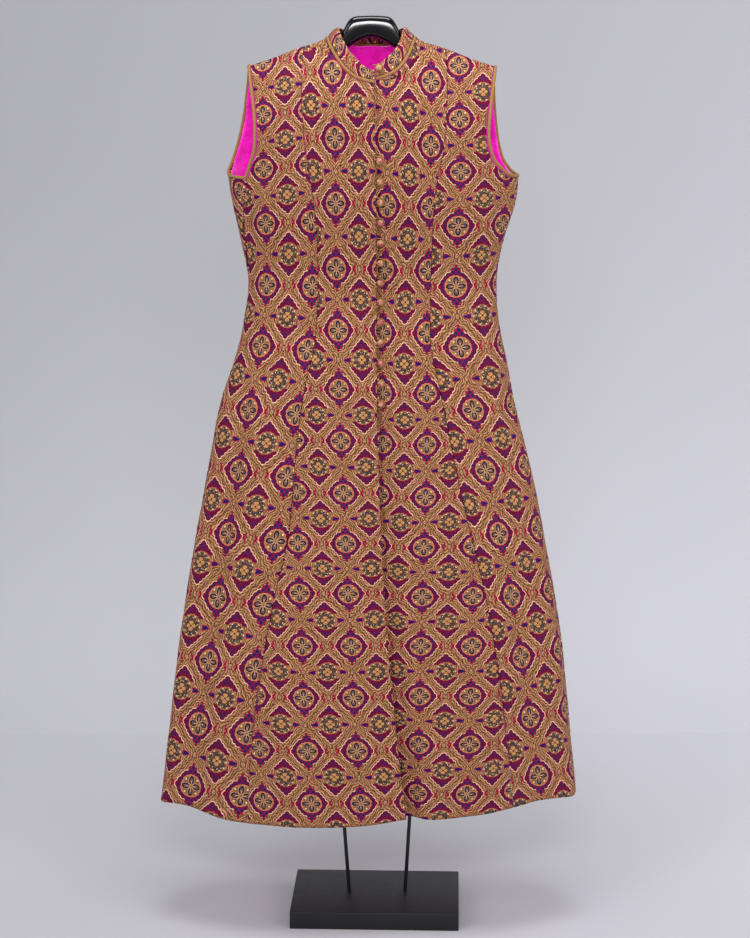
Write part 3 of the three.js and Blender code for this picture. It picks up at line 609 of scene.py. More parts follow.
def makeBrocade():
    look = embroidery
    material, tree, place = newMaterial("embroidered brocade", True)
    wobble = partsOf(tree, noise(tree, place, 3.1, 2.0, output="Color").socket)
    u, v = (part + (shift - 0.5) * look["wobble"]
            for part, shift in zip(partsOf(tree, place)[:2], wobble))

    def laid(colour, *layers):  # colours over one another, each through its mask
        for above, mask in layers:
            below = look[colour] if isinstance(colour, str) else colour
            colour = paint(tree, below, look[above], mask)
        return colour

    # the cell: its middle is a quatrefoil medallion, or a rosette where rosette is 1
    p, q = u + v, u - v
    pWhole, qWhole = p.rounded(), q.rounded()
    pIn, qIn = p - pWhole, q - qWhole
    half = (pWhole + qWhole) * 0.5
    rosette = abs(half - half.rounded()) * 2
    x, y = abs((pIn + qIn) * 0.5), abs((pIn - qIn) * 0.5)
    s = x + y
    along = x - y  # towards the side corners of the cell, or the upper and lower ones
    angle = y.put("ARCTAN2", x)

    def spot(across, up, radius, soft):
        return distance(x - across, y - up).under(radius, soft)

    # leaves of the lattice, with lobed edges and veins that flow along them
    quatre = rosette.inverse()
    bends = noise(tree, place, 7.0, 2.0) - 0.5
    frays = noise(tree, place, 24.0, 2.0, 0.7) - 0.5
    length = abs(along)
    lobes = abs((along * 26.0 + bends * 3.0).sine()) * 0.022 + frays * 0.017
    upDown = along.under(0.0, 0.02)
    edge = lobes + 0.367 - length * length * (quatre * (upDown * 2.0 + 0.2) + 0.2)
    rim = (s - edge).near(0.011, 0.013, 0.004)
    trench = (s - edge).near(0.032, 0.006, 0.006)
    curl = distance(x - 0.425, y - 0.098)
    curlLine = curl.near(0.027, 0.006, 0.005) * quatre
    curlDot = curl.under(0.010, 0.005) * quatre
    across = (s * -1 + 0.5) * 6.5
    flow = across * 2.5 - length * 1.9 + (along * 23.0).sine() * 0.30 + bends * 2.4
    ripple = flow * 6.2832 + frays * 6.0
    broken = noise(tree, place, 13.0, 2.0, 0.6)
    vein = (ripple.sine() * 0.5 + 0.5).power(1.7) * (broken * 2.5 - 0.22).least(1).most(0)
    # painted highlight: a pale sheen that runs beside each vein
    gleam = ((ripple + 2.4).sine() * 0.5 + 0.5).power(3)
    rib = across.near(0.06, 0.05, 0.05) * length.under(0.36, 0.05)

    # the open field of each cell
    field = s.under(edge, 0.004)
    lowSide = y.under(0.126, 0.006) * rosette
    field = field * lowSide.inverse()

    # quatrefoil
    xDisc, yDisc = x * 0.94, y * 1.10
    r = distance(xDisc, yDisc)
    major, minor = xDisc.most(yDisc), xDisc.least(yDisc)
    scallop = abs((angle * 8).sine()) * 0.010
    disc = (r - scallop).under(0.194, 0.004)
    discRim = (r - scallop).near(0.184, 0.010, 0.005)
    discLine = r.near(0.169, 0.004, 0.005)
    loopAt = distance((major - 0.104) * 0.86, minor * 1.2)
    loop = loopAt.near(0.048, 0.0125, 0.004)
    loopLine = loopAt.near(0.067, 0.006, 0.004) * r.under(0.172, 0.006)
    cross = minor.under(0.006, 0.004) * major.under(0.095, 0.010)
    loopSpot = distance(major - 0.118, minor).under(0.026, 0.010)
    heart = r.under(0.034, 0.006)
    heartDot = r.under(0.011, 0.004)
    studs = distance(xDisc - 0.110, yDisc - 0.110).under(0.017, 0.006)
    ringSpots = (angle * 16).cosine().under(0.1, 0.5).inverse() * r.near(0.238, 0.014, 0.008)
    trefoil = spot(0.052, 0.232, 0.043, 0.004).most(spot(0, 0.270, 0.054, 0.004))
    trefoil = trefoil.most(distance(x * 0.8, y - 0.340).under(0.024, 0.004))
    trefoil = trefoil.most(spot(0.066, 0.290, 0.020, 0.004))
    berries = spot(0.050, 0.228, 0.029, 0.006).most(spot(0, 0.282, 0.030, 0.006))
    stem = y.under(0.016, 0.005) * x.near(0.338, 0.034, 0.006)
    fork = (y - (x - 0.362) * 0.95).near(0, 0.030, 0.005) * x.near(0.386, 0.032, 0.004)

    # rosette
    petals = abs((angle * 8).sine()) * 0.012 + frays * 0.014
    bloom = (r - petals).under(0.196, 0.006)
    bloomRim = (r - petals).near(0.186, 0.008, 0.006)
    band = r.near(0.132, 0.026, 0.012)
    fleck = noise(tree, place, 30.0, 1.0)
    seeds = fleck.under(0.53, 0.05) * band
    sparks = fleck.under(0.65, 0.02).inverse() * band
    rings = r.near(0.096, 0.006, 0.006).most(r.near(0.162, 0.005, 0.006) * 0.7)
    flowerEdge = r - abs((angle * 2.5).cosine()) * 0.030
    flower = flowerEdge.under(0.058, 0.006)
    flowerRim = flowerEdge.near(0.064, 0.008, 0.005)
    clefts = abs((angle * 2.5).cosine()).under(0.30, 0.12) * r.near(0.052, 0.034, 0.01)
    eye = r.under(0.017, 0.004)
    beadRing = (angle * 11).cosine().under(0.45, 0.25).inverse() * r.near(0.172, 0.010, 0.006)
    arrowHalf = ((x * -1 + 0.412) * 0.42).most(0)
    arrow = y.under(arrowHalf.least(0.044), 0.005) * x.near(0.324, 0.088, 0.005)
    arrowCore = y.under((arrowHalf - 0.008).least(0.030), 0.006) * x.near(0.316, 0.070, 0.010)
    cornerSpots = spot(0.052, 0.245, 0.022, 0.008).most(spot(0, 0.285, 0.024, 0.008))

    # knots where the leaves cross
    node = distance(x - 0.5, y).least(distance(x, y - 0.5))
    knot = node.under(0.043, 0.005)
    knotRim = node.near(0.047, 0.008, 0.005)

    mottle = noise(tree, place, 34.0, 3.0, 0.65)
    grain = noise(tree, place, 9.0, 3.0, 0.6)
    threads = noise(tree, place, 95.0, 2.0, 0.7)

    # the leaf colour takes gleam in the pale edge colour as a painted highlight
    leafColour = laid("gold", ("goldPink", ((grain - 0.48).most(0) * 4.0).least(0.8)), ("edge", gleam * 0.3),
                      ("goldDeep", vein * 0.92), ("goldDeep", rib * 0.55), ("goldDeep", trench * 0.6),
                      ("goldPink", curl.under(0.045, 0.01) * quatre * 0.7),
                      ("goldDeep", curlLine.most(curlDot) * 0.85), ("edge", knot * 0.12),
                      ("goldDeep", knotRim * 0.75))
    groundColour = laid("ground", ("groundDeep", ((mottle - 0.34).most(0) * 5.0).least(0.9)))
    # painted shadow: the ground darkens in a band just outside each leaf, where the raised leaves would shade
    # it
    edgeShadow = (s - edge).near(-0.016, 0.008, 0.012)
    groundColour = laid(groundColour, ("groundDeep", edgeShadow * 0.75), ("blue", ringSpots * quatre),
                        ("blue", cornerSpots * rosette * 0.8))
    colour = paint(tree, groundColour, leafColour, field.inverse())

    crown = laid("ground", ("groundDeep", (mottle - 0.1).least(0.5)))
    colour = paint(tree, colour, crown, trefoil * quatre)
    colour = laid(colour, ("blue", berries * quatre), ("red", stem * quatre), ("red", fork * quatre),
                  ("ground", arrow * rosette), ("arrow", arrowCore * rosette))
    openEdge = rim * lowSide.inverse() * (trefoil * quatre).inverse()
    colour = laid(colour, ("edge", openEdge * 0.95))

    medalColour = laid("medal", ("rose", ((grain - 0.50).most(0) * 4.0).least(0.7)),
                       ("goldDeep", ((mottle - 0.50).most(0) * 5.0).least(0.7)))
    inner = laid(medalColour, ("medalEdge", discRim), ("gold", discLine), ("edge", loopLine * 0.4),
                 ("mist", loopSpot * 0.8), ("navy", loop), ("edge", cross * 0.7), ("gold", heart),
                 ("blue", heartDot), ("dot", studs))
    colour = paint(tree, colour, inner, disc * quatre)

    bloomColour = laid(medalColour, ("goldDeep", (angle * 18).sine().most(0) * 0.5), ("mist", band * 0.5),
                       ("navy", seeds * 0.72), ("dot", sparks * 0.45), ("navy", rings * 0.6),
                       ("medalEdge", bloomRim * 0.6), ("dot", beadRing * 0.75), ("goldDeep", flowerRim * 0.8),
                       ("flower", flower), ("goldDeep", clefts * 0.95), ("navy", eye))
    colour = paint(tree, colour, bloomColour, bloom * rosette)

    shade = tree.nodes.new("ShaderNodeHueSaturation")
    tree.links.new(colour, shade.inputs["Color"])
    tree.links.new((threads * 0.7 + mottle * 1.3).socket, shade.inputs["Value"])

    raised = field.inverse() * (across * 0.35 + 0.45) + openEdge * 0.35
    raised = raised.most(disc * quatre * 0.62).most(bloom * rosette * 0.6)
    raised = raised - vein * field.inverse() * 0.34 + loop * quatre * 0.3 + studs * quatre * 0.3 + knot * 0.25
    raised = raised + threads * 0.28
    bump(tree, raised, 0.85, look["relief"])
    dress(tree, {"Base Color": shade.outputs[0], "Roughness": field * 0.12 + threads * 0.15 + 0.5,
                 "Specular IOR Level": 0.14})
    return material


def makeLining(name, glow=0):
    material, tree, place = newMaterial(name)
    cloudy = noise(tree, place, 14.0, 3.0)
    folds = noise(tree, place, 34.0, 2.0, 0.6)
    weave = noise(tree, place, 900.0, 1.0)
    creaseShade = abs(folds - 0.5).near(0.0, 0.012, 0.03)
    colour = paint(tree, "ff20d0", "f400a8", (cloudy - 0.3).most(0) * 1.6)
    # painted shade: the pink darkens along the creases
    colour = paint(tree, colour, "a0006c", creaseShade * 0.55)
    bump(tree, weave * 0.05 + cloudy * 0.3 + folds, 0.8, 0.010)
    dress(tree, {"Base Color": colour, "Roughness": 0.38, "Sheen Weight": 0.3})
    if glow:  # a weak painted glow of its own keeps the pink bright where the form shades it, and the glow is darker along the creases as painted shade
        light = paint(tree, "f800d0", "a00074", creaseShade * 0.8)
        dress(tree, {"Emission Strength": glow, "Emission Color": light})
    return material


def makeCord(name, light, dark, twist):  # thread twisted round a cord, along the piece's own map
    material, tree, place = newMaterial(name, True)
    around, length, _ = partsOf(tree, place)
    ply = ((around * 6.2832 + length * twist).sine() * 0.5 + 0.5).power(0.7)
    strand = (around * 6.2832 * 4 + length * twist * 7).sine() * 0.5 + 0.5
    patch = noise(tree, place, 0.35)
    colour = paint(tree, dark, light, ply * 0.75 + strand * 0.2)
    colour = paint(tree, colour, "8a3a40", (patch - 0.5).most(0) * 1.5)
    bump(tree, ply + strand * 0.3, 0.6, 0.0004)
    dress(tree, {"Base Color": colour, "Roughness": 0.55, "Specular IOR Level": 0.2})
    return material


def makeButtonCloth():
    material, tree, place = newMaterial("button cloth")
    spots = tree.nodes.new("ShaderNodeTexVoronoi")
    spots.inputs["Scale"].default_value = 420
    tree.links.new(place, spots.inputs["Vector"])
    cell = Wire(tree, spots.outputs["Distance"])
    colour = paint(tree, "b8505c", "c99a62", noise(tree, place, 160.0).under(0.5, 0.08))
    colour = paint(tree, colour, "5a1832", (cell - 0.35).most(0) * 1.4)
    bump(tree, cell.inverse(), 0.7, 0.0006)
    dress(tree, {"Base Color": colour, "Roughness": 0.5})
    return material


def makeBlack(name, low, high, rough, spread, scale, grainDepth, gloss=0.5):
    material, tree, place = newMaterial(name)
    patch = noise(tree, place, scale, 4.0)
    bump(tree, noise(tree, place, scale * 22), 0.3, grainDepth)
    dress(tree, {"Base Color": paint(tree, low, high, patch), "Roughness": patch * spread + rough,
                 "Specular IOR Level": gloss})
    return material


def makeSequin():
    material, tree, place = newMaterial("gilt sequin")
    patch = noise(tree, place, 120.0, 1.0)
    dress(tree, {"Base Color": paint(tree, "d8b068", "f4e2b4", patch), "Roughness": patch * 0.3 + 0.22,
                 "Metallic": 0.6})
    return material


brocade = makeBrocade()
sequinMetal = makeSequin()
lining = makeLining("lining silk")
# the upper back's lining is a glowing copy: painted light that keeps it bright in the form's shade
glowingLining = makeLining("upper lining silk", 0.22)
goldCord = makeCord("gold cord", "b0864c", "7c5a34", 2.9)
buttonCloth = makeButtonCloth()
blackGloss = makeBlack("black gloss", "040405", "08080a", 0.08, 0.06, 30, 0.00004)
blackMetal = makeBlack("black metal", "0a0a0b", "131315", 0.38, 0.12, 60, 0.0001)
blackWood = makeBlack("black painted wood", "101013", "1a1a1d", 0.42, 0.14, 40, 0.00015, 0.35)
print("materials done")


# where the pattern's columns and rows run on each panel
pattern = {
    "front_right": {
        "z": [242, 333, 424, 511, 600, 683, 767, 853, 937, 1033, 1133, 1241, 1345, 1449],
        "x": [-25, -32, -38, -41, -46, -50, -53.5, -58, -61, -62, -65, -65, -66, -71],
        "repeat": [83, 83, 83, 82, 81, 80, 79, 78, 77, 76, 75, 74, 74, 75], "lean": [0] * 14},
    "front_left": {
        "z": [256, 342, 425, 510, 593, 676, 760, 846, 929, 1028, 1130, 1234, 1333, 1434],
        "x": [69, 71, 72.5, 74.5, 76.5, 79, 81.5, 83.6, 83.5, 83.4, 85, 87, 88, 88.7],
        "repeat": [86, 86, 85, 85, 85, 84, 80, 75, 75, 75, 72, 70, 71, 74],
        "lean": [0, 0, 0, 0, 0, 0, 0, 0, 0, 0, 0, 0.05, 0.12, 0.13]},
    "side_front_right": {
        "z": [140, 250, 360, 470, 580, 688, 796, 899, 1004, 1104, 1206, 1295, 1381, 1465],
        "x": [-331, -315, -301, -281.5, -265, -246.6, -227.7, -211, -190, -180, -180, -182, -183, -184],
        "repeat": [98, 98, 96, 92, 90, 90, 89, 86, 82, 80, 78, 78, 78, 78],
        "lean": [0.03, 0.03, 0.03, 0.03, 0.03, 0.04, 0.04, 0.04, 0.04, 0, -0.08, -0.12, -0.12, -0.12]},
    "side_front_left": {
        "z": [168, 272, 376, 481, 586, 692, 799, 900, 1003, 1103, 1203, 1291, 1375, 1459],
        "x": [291, 275.3, 260, 243.8, 226.6, 205.3, 182, 160.4, 139, 131, 133.4, 137, 134.2, 134],
        "repeat": [86, 86, 86, 86, 84, 84, 86, 91, 93, 92, 88, 84, 84, 84], "lean": [0] * 14},
    "back": {
        "z": [236, 325, 414, 502, 590, 678, 768, 860, 955, 1053, 1152, 1253, 1355, 1458],
        "x": [-8] * 14,
        "repeat": [88, 87, 86, 85, 84, 83, 82, 81, 80, 79, 79, 79, 79, 79], "lean": [0] * 14},
}


def patternUv(name, points, turn):
    rows = pattern[name]
    x, z = points[..., 0], points[..., 2]
    columnX = valueAt(rows, "x", z)
    if name == "back":
        middle = np.argmin(np.abs(turn[0] + 2))
        across = -arcFrom(points, middle)
    else:
        arc = arcFrom(points, 0)
        start = np.array([np.interp(c, px, a) for c, px, a in zip(columnX.mean(axis=1), x, arc)])
        across = arc - start[:, None]
    level = z + valueAt(rows, "lean", z) * (x - columnX)
    heights = rows["z"]
    up = np.interp(level, heights, np.arange(len(heights)))
    up = np.where(level < heights[0], (level - heights[0]) / (heights[1] - heights[0]), up)
    above = len(heights) - 1 + (level - heights[-1]) / (heights[-1] - heights[-2])
    up = np.where(level > heights[-1], above, up)
    return np.stack([across / valueAt(rows, "repeat", z), up], -1)


lapLook = {"quiet": 24, "fade": 40, "quietRight": 12, "shadeDepth": 5.0, "shadeAt": 14.5, "shadeWidth": 3.8}
uneven = {"rise": 0.5, "across": (17, 41), "down": (29, -53), "topFade": 40, "least": 0.25}


def seamDetail(name, points):  # creases, and the puckers and dips along the seams
    x, z = points[..., 0], points[..., 2]
    rise = creaseAt(creases[name], x, z)
    arc = arcFrom(points, 0)
    fromLeft, fromRight = arc, arc[:, -1:] - arc
    if name == "front_right":
        rise = rise * smooth((fromRight - lapLook["quietRight"]) / lapLook["fade"])
    calm = smooth((fromLeft - lapLook["quiet"]) / lapLook["fade"]) if name == "front_left" else 1
    rise = rise * calm
    if name == "front_left":  # the shadow line beside the lap
        aside = (fromLeft - lapLook["shadeAt"]) / lapLook["shadeWidth"]
        rise = rise - lapLook["shadeDepth"] * np.exp(-aside ** 2)
    for away, start in ((fromLeft, 0.0), (fromRight, 1.7)):
        lapSide = (name == "front_right" and start > 0) or (name == "front_left" and start == 0)
        if not lapSide:
            length = pucker["length"] * (1 + 0.25 * np.sin(z / 83 + start))
            share = away / pucker["reach"]
            wave = np.sin(z * 2 * np.pi / length + start)
            rise = rise + pucker["rise"] * wave * np.exp(-share ** 2) * share
            rise = rise - pucker["seamDip"] * np.exp(-(away / pucker["seamWidth"]) ** 2)
    (xLong, zLong), (zCross, xCross) = uneven["across"], uneven["down"]
    rise = rise + uneven["rise"] * np.sin(x / xLong + z / zLong) * np.sin(z / zCross + x / xCross) * calm
    fade = smooth((shoulderHeight(x) - z) / uneven["topFade"])
    return rise * (uneven["least"] + (1 - uneven["least"]) * fade)


fineRows = refine(levels, 5.5)
surfaces = {}
for name, panel in panels.items():
    turn, z = panelGrid(panel["edges"], panel["columns"], panel["top"], fineRows)
    points = panel["face"](turn, z)
    normal = normalOf(panel["face"], turn, z)
    points = points + normal * seamDetail(name, points)[..., None]
    uv = patternUv(name, points, turn)
    surfaces[name] = {"points": points.copy(), "normal": normal, "uv": uv}
    inner = points - normal * cloth["wall"]
    gap = cloth["seamGap"] / 2
    shell = clothShell(name + "_cloth", pullIn(points, gap), pullIn(inner, gap), uv, brocade, lining)
    settle(shell, name)
print("panels done")


# sequins: four in each quatrefoil and eight round each rosette, sunk a little in the cloth
sequin = {"sides": 8, "stud": 1.4, "spark": 1.0, "height": 0.9, "sink": 0.2, "studAt": (0.117, 0.1),
          "ring": (0.150, 0.128), "around": 8, "uneven": 0.3, "clear": 15, "cell": (80, 95), "close": 60}


def onPanel(surface, places):  # points and normals of a panel at places in the pattern
    uv, points, normal = surface["uv"], surface["points"], surface["normal"]
    slopes = [np.gradient(field, axis=(0, 1)) for field in (uv[..., 0], uv[..., 1])]
    pointRow, pointColumn = np.gradient(points, axis=(0, 1))
    arc = arcFrom(points, 0)
    border = np.minimum(arc, arc[:, -1:] - arc)
    for place in places:
        gap = (((uv - place) * sequin["cell"]) ** 2).sum(axis=-1)
        i, j = np.unravel_index(np.argmin(gap), gap.shape)
        if not (1 < i < len(uv) - 3 and gap[i, j] < sequin["close"] and border[i, j] >= sequin["clear"]):
            continue
        matrix = np.array([[slope[0][i, j], slope[1][i, j]] for slope in slopes])
        if abs(np.linalg.det(matrix)) > 1e-9:
            down, right = np.clip(np.linalg.solve(matrix, place - uv[i, j]), -1, 1)
            yield points[i, j] + pointRow[i, j] * down + pointColumn[i, j] * right, normal[i, j]


def sequinPlaces(uv):
    lows, highs = (uv.reshape(-1, 2).min(0).astype(int) - 1, uv.reshape(-1, 2).max(0).astype(int) + 2)
    studs, sparks = [], []
    for column in range(lows[0], highs[0]):
        for row in range(lows[1], highs[1]):
            cell = np.array([column, row])
            studs += [cell + np.array(sequin["studAt"]) * (a, b) for a in (-1, 1) for b in (-1, 1)]
            for k in range(sequin["around"]):
                off = sequin["uneven"] * np.sin(7 * column + 3 * row + k)
                turn = 2 * np.pi * (k + off) / sequin["around"]
                sparks.append(cell + 0.5 + np.array(sequin["ring"]) * (np.cos(turn), np.sin(turn)))
    return (studs, sequin["stud"]), (sparks, sequin["spark"])


def addSequins(name, surface):
    sides = sequin["sides"]
    angle = 2 * np.pi * np.arange(sides)[:, None] / sides
    points, faces = [], []
    for places, radius in sequinPlaces(surface["uv"]):
        for place, up in onPanel(surface, places):
            side = unit(np.cross(up, (0, 0, 1.0)))
            other = np.cross(up, side)
            first = len(points)
            for share, rise in ((1.0, -sequin["sink"]), (0.75, 0.6 * sequin["height"])):
                out = side * np.cos(angle) + other * np.sin(angle)
                points += list(place + up * rise + radius * share * out)
            points.append(place + up * sequin["height"])
            for k in range(sides):
                here, there = first + k, first + (k + 1) % sides
                faces.append((here, there, there + sides, here + sides))
                faces.append((here + sides, there + sides, first + 2 * sides))
            faces.append(tuple(range(first + sides - 1, first - 1, -1)))
    piece = newObject(name + "_sequins", np.array(points), faces, materials=(sequinMetal,))
    solid = bmesh.new()
    solid.from_mesh(piece.data)
    bmesh.ops.recalc_face_normals(solid, faces=solid.faces)
    solid.to_mesh(piece.data)
    solid.free()
    settle(piece)
    return len(points) // (2 * sides + 1)


print("sequins done:", sum(addSequins(name, surface) for name, surface in surfaces.items()))


# the lining of the upper back
liningLook = {"margin": -4, "flat": (0.52, 0.26), "area": 0.112, "wrinkle": 2.2}
liningRows = refine([level for level in levels if level >= 1245], 3.5)
turn, z = panelGrid(panels["back"]["edges"], panels["back"]["columns"], backTop, liningRows)
points, normal = bodyPoint(turn, z), normalOf(bodyPoint, turn, z)
x = points[..., 0]
wrinkle = (np.sin(x / 9 + z / 14) * np.sin(z / 23 - x / 31) + 1) * 0.5 * liningLook["wrinkle"]
wrinkle = wrinkle * smooth((shoulderHeight(x) - z) / 25)
depth = cloth["wall"] + 3 * cloth["seamGap"]
outer = pullIn(points - normal * (depth + wrinkle)[..., None], liningLook["margin"])
inner = pullIn(points - normal * (depth + wrinkle + cloth["liningWall"])[..., None], liningLook["margin"])
uv = points[..., [0, 2]] / 80
piece = clothShell("lining_back_cloth", outer, inner, uv, glowingLining, glowingLining, rimIn=0.3)
settle(piece, "lining_back")
print("lining done")


# pipings round the armholes and along the collar seam
pipingLook = {"sides": 14, "step": 4, "collarStep": 3, "smoothings": 6, "sharpest": 0.5}


def besideEdge(points, normals, closed, middle):
    ahead, along = tangents(points, closed)
    away = unit(np.cross(along, normals))
    facing = np.sum(away * (middle - points), axis=1, keepdims=True)
    away = np.where(facing < 0, -away, away)
    corner = np.maximum(pipingLook["sharpest"], np.sum(along * ahead, axis=1, keepdims=True))
    return points + away * (cloth["pipingRadius"] + cloth["pipingGap"]) / corner


def edgePoints(face, places):
    turn, z = (np.array([float(place[i]) for place in places]) for i in (0, 1))
    return face(turn, z), normalOf(face, turn, z)


def armholePiping(name, frontEdge, backEdge):
    rows = [level for level in levels if level >= shape["armpit"]]
    front = [frontEdge(np.array([float(level)])) for level in rows]
    behind = [backEdge(np.array([float(level)])) for level in rows[1:-1]][::-1]
    front[-1] = (front[-1][0], shoulderTop(front[-1][0]))
    points, normals = edgePoints(bodyPoint, front + behind)
    line = besideEdge(points, normals, True, points.mean(axis=0))
    around = np.vstack([line[-2:], line, line[:3]])
    ups = np.vstack([normals[-2:], normals, normals[:3]])
    fine = smoothLine(around, pipingLook["step"])
    fineUps = np.array([ups[np.argmin(np.linalg.norm(around - p, axis=1))] for p in fine])
    for _ in range(pipingLook["smoothings"]):
        fineUps = (np.roll(fineUps, 1, 0) + fineUps + np.roll(fineUps, -1, 0)) / 3
    start = np.argmin(np.linalg.norm(fine[: len(fine) // 2] - line[0], axis=1))
    end = len(fine) // 2 + np.argmin(np.linalg.norm(fine[len(fine) // 2:] - line[0], axis=1))
    piece = cordShell(name + "_cord", fine[start:end], fineUps[start:end], cloth["pipingRadius"],
                      pipingLook["sides"], True, goldCord)
    settle(piece, name)


armholePiping("armhole_piping_right", sideEdge(armholeFrontRight, rightSeam),
              sideEdge(armholeBackRight, rightSeam))
armholePiping("armhole_piping_left", sideEdge(armholeFrontLeft, upright(1)),
              sideEdge(armholeBackLeft, upright(-3)))

collarLook = {"middle": (-8, -10, 1500), "halfWidth": 72, "frontIn": 6, "sideIn": 15, "frontUp": 21,
              "sideUp": 15, "bow": 1.2, "share": [0, 0.12, 0.45, 0.75, 1], "rise": [-5, -3, 6, 6, 1],
              "flat": (0.36, 0.0225), "area": 0.008, "rows": 9, "from": 40, "repeat": 76,
              "pattern": (0.14, -0.12)}


def collarPlan():
    rows = np.array([float(level) for level in levels if level >= shape["neck"]])
    right, rightUp = edgePoints(overlapFace, list(zip(*rightFrontEdge(rows))))
    left, leftUp = edgePoints(underlapFace, list(zip(*leftFrontEdge(rows))))
    turns = -2 + backNeck["turn"] * (1 - np.arange(1, 6) / 3)
    back, backUp = edgePoints(bodyPoint, list(zip(turns, backTop(turns))))
    points = np.vstack([right, back, left[:0:-1]])
    normals = np.vstack([rightUp, backUp, leftUp[:0:-1]])
    middle = np.array(collarLook["middle"], float)
    line = smoothLine(besideEdge(points, normals, False, middle), pipingLook["collarStep"])
    inward = middle - line
    inward[:, 2] = 0
    inward = unit(inward)
    sideways = np.clip(np.abs(line[:, :1] - shape["centreX"]) / collarLook["halfWidth"], 0, 1)
    lean = inward * (collarLook["frontIn"] + (collarLook["sideIn"] - collarLook["frontIn"]) * sideways)
    lean[:, 2:] = collarLook["frontUp"] + (collarLook["sideUp"] - collarLook["frontUp"]) * sideways
    inFront = smooth((middle[1] + 5 - line[:, 1:2]) / 12)
    lean[:, 2:] += inFront * np.interp(sideways, collarLook["share"], collarLook["rise"])
    _, along = tangents(line)
    up = unit(lean - along * np.sum(lean * along, axis=1, keepdims=True))
    return line, along, lean, up


def collarPoints(plan, depth, count=collarLook["rows"]):
    line, along, lean, up = plan
    away = unit(np.cross(up, along))
    foot = line + up * (cloth["pipingRadius"] + cloth["pipingGap"])
    return np.stack([foot + lean * share + away * (4 * share * (1 - share) * collarLook["bow"] - depth)
                     for share in np.linspace(0, 1, count)])


plan = collarPlan()
piping = cordShell("collar_piping_cord", plan[0], plan[3], cloth["pipingRadius"],
                   pipingLook["sides"], False, goldCord)
settle(piping, "collar_piping")
outer, inner = collarPoints(plan, 0)[:, ::-1], collarPoints(plan, cloth["wall"])[:, ::-1]
rows = collarLook["rows"]
length = np.repeat(arcFrom(outer, 0)[rows // 2:rows // 2 + 1], rows, axis=0)
height = np.linspace(*collarLook["pattern"], rows)[:, None] + 0 * length
uv = np.stack([(length - collarLook["from"]) / collarLook["repeat"], height], -1)
collar = clothShell("collar_cloth", outer.copy(), inner.copy(), uv, brocade, brocade)
settle(collar, "collar")
print("collar and pipings done")


# buttons and loops
buttonLook = {"radius": 5.75, "count": 13, "top": 1309, "spacing": 33.1, "fromEdge": 6.3,
              "cord": 1, "loop": 6.6, "collarLoop": 8, "gap": 0.8,
              "loopSides": 8, "loopStep": 1.2, "loopUp": 0.4, "ends": (-5, 1.5)}


def addBall(name, centre, away):
    bpy.ops.mesh.primitive_uv_sphere_add(segments=20, ring_count=12, radius=buttonLook["radius"] / 1000)
    ball = bpy.context.object
    ball.name = name
    ball.data.name = name
    mesh = ball.data
    toward = Vector(away).to_track_quat("Z", "Y").to_matrix().to_4x4()
    toward.translation = Vector(centre) / 1000
    mesh.transform(toward)
    mesh.polygons.foreach_set("use_smooth", [True] * len(mesh.polygons))
    mesh.materials.append(buttonCloth)
    ball.select_set(False)
    return ball


def addButton(number, seat, away, line):
    label = f"{number:02d}"
    ball = addBall(f"button_{label}_ball", seat + away * (buttonLook["radius"] + cloth["seamGap"]), away)
    settle(ball, f"button_{label}")
    fine = smoothLine(line, buttonLook["loopStep"])
    loop = cordShell(f"loop_{label}_cord", fine, np.tile(away, (len(fine), 1)), buttonLook["cord"],
                     buttonLook["loopSides"], False, goldCord)
    settle(loop, f"loop_{label}")


def halfRing(radius):
    angles = np.pi / 2 - np.pi * np.arange(9) / 8
    return np.stack([radius * np.cos(angles), radius * np.sin(angles)], -1)


def onFace(face, x, z):
    turn = turnAt(x, z)
    return face(turn, z), normalOf(face, turn, z)


for index in range(buttonLook["count"]):
    z = buttonLook["top"] - index * buttonLook["spacing"]
    x = float(frontEdgeX(z)) + buttonLook["fromEdge"]
    seat, away = onFace(underlapFace, x, z)
    ring = [onFace(underlapFace, x + side, z + high)[0] + away * (buttonLook["cord"] + buttonLook["loopUp"])
            for side, high in halfRing(buttonLook["loop"])]
    ends = []
    for high in (buttonLook["loop"], -buttonLook["loop"]):
        level = z + high
        edge = onFace(overlapFace, float(frontEdgeX(level)), level)
        ends.append(edge[0] - edge[1] * cloth["wall"] / 2 + np.array([buttonLook["gap"], 0, 0]))
    addButton(index + 1, seat, away, [ends[0], *ring, ends[1]])

rows = collarPoints(plan, 0, 3)
ends = {}
for key, side, pick in (("left", 1, (-1, -2)), ("right", -1, (0, 1))):
    foot, middle, top = rows[:, list(pick)]
    across = unit((middle[1] - middle[0]) * side)
    away = unit(np.cross(across, top[0] - foot[0]))
    ends[key] = (middle[0], across, np.cross(away, across), away)


def placeOn(end, along, high, height):
    middle, across, up, away = ends[end]
    return middle + across * along + up * high + away * height


lift = buttonLook["cord"] + 2 * cloth["seamGap"]
step = float(np.dot(ends["left"][0] - ends["right"][0], ends["right"][2]))
radius = buttonLook["collarLoop"]
line = [placeOn("right", along, step + radius, lift) for along in buttonLook["ends"]]
line += [placeOn("left", buttonLook["fromEdge"] + side, high, lift) for side, high in halfRing(radius)]
line += [placeOn("right", along, step - radius, lift) for along in buttonLook["ends"][::-1]]
seat = placeOn("left", buttonLook["fromEdge"], 0, cloth["seamGap"])
addButton(buttonLook["count"] + 1, seat, ends["left"][3], line)
print("buttons done")


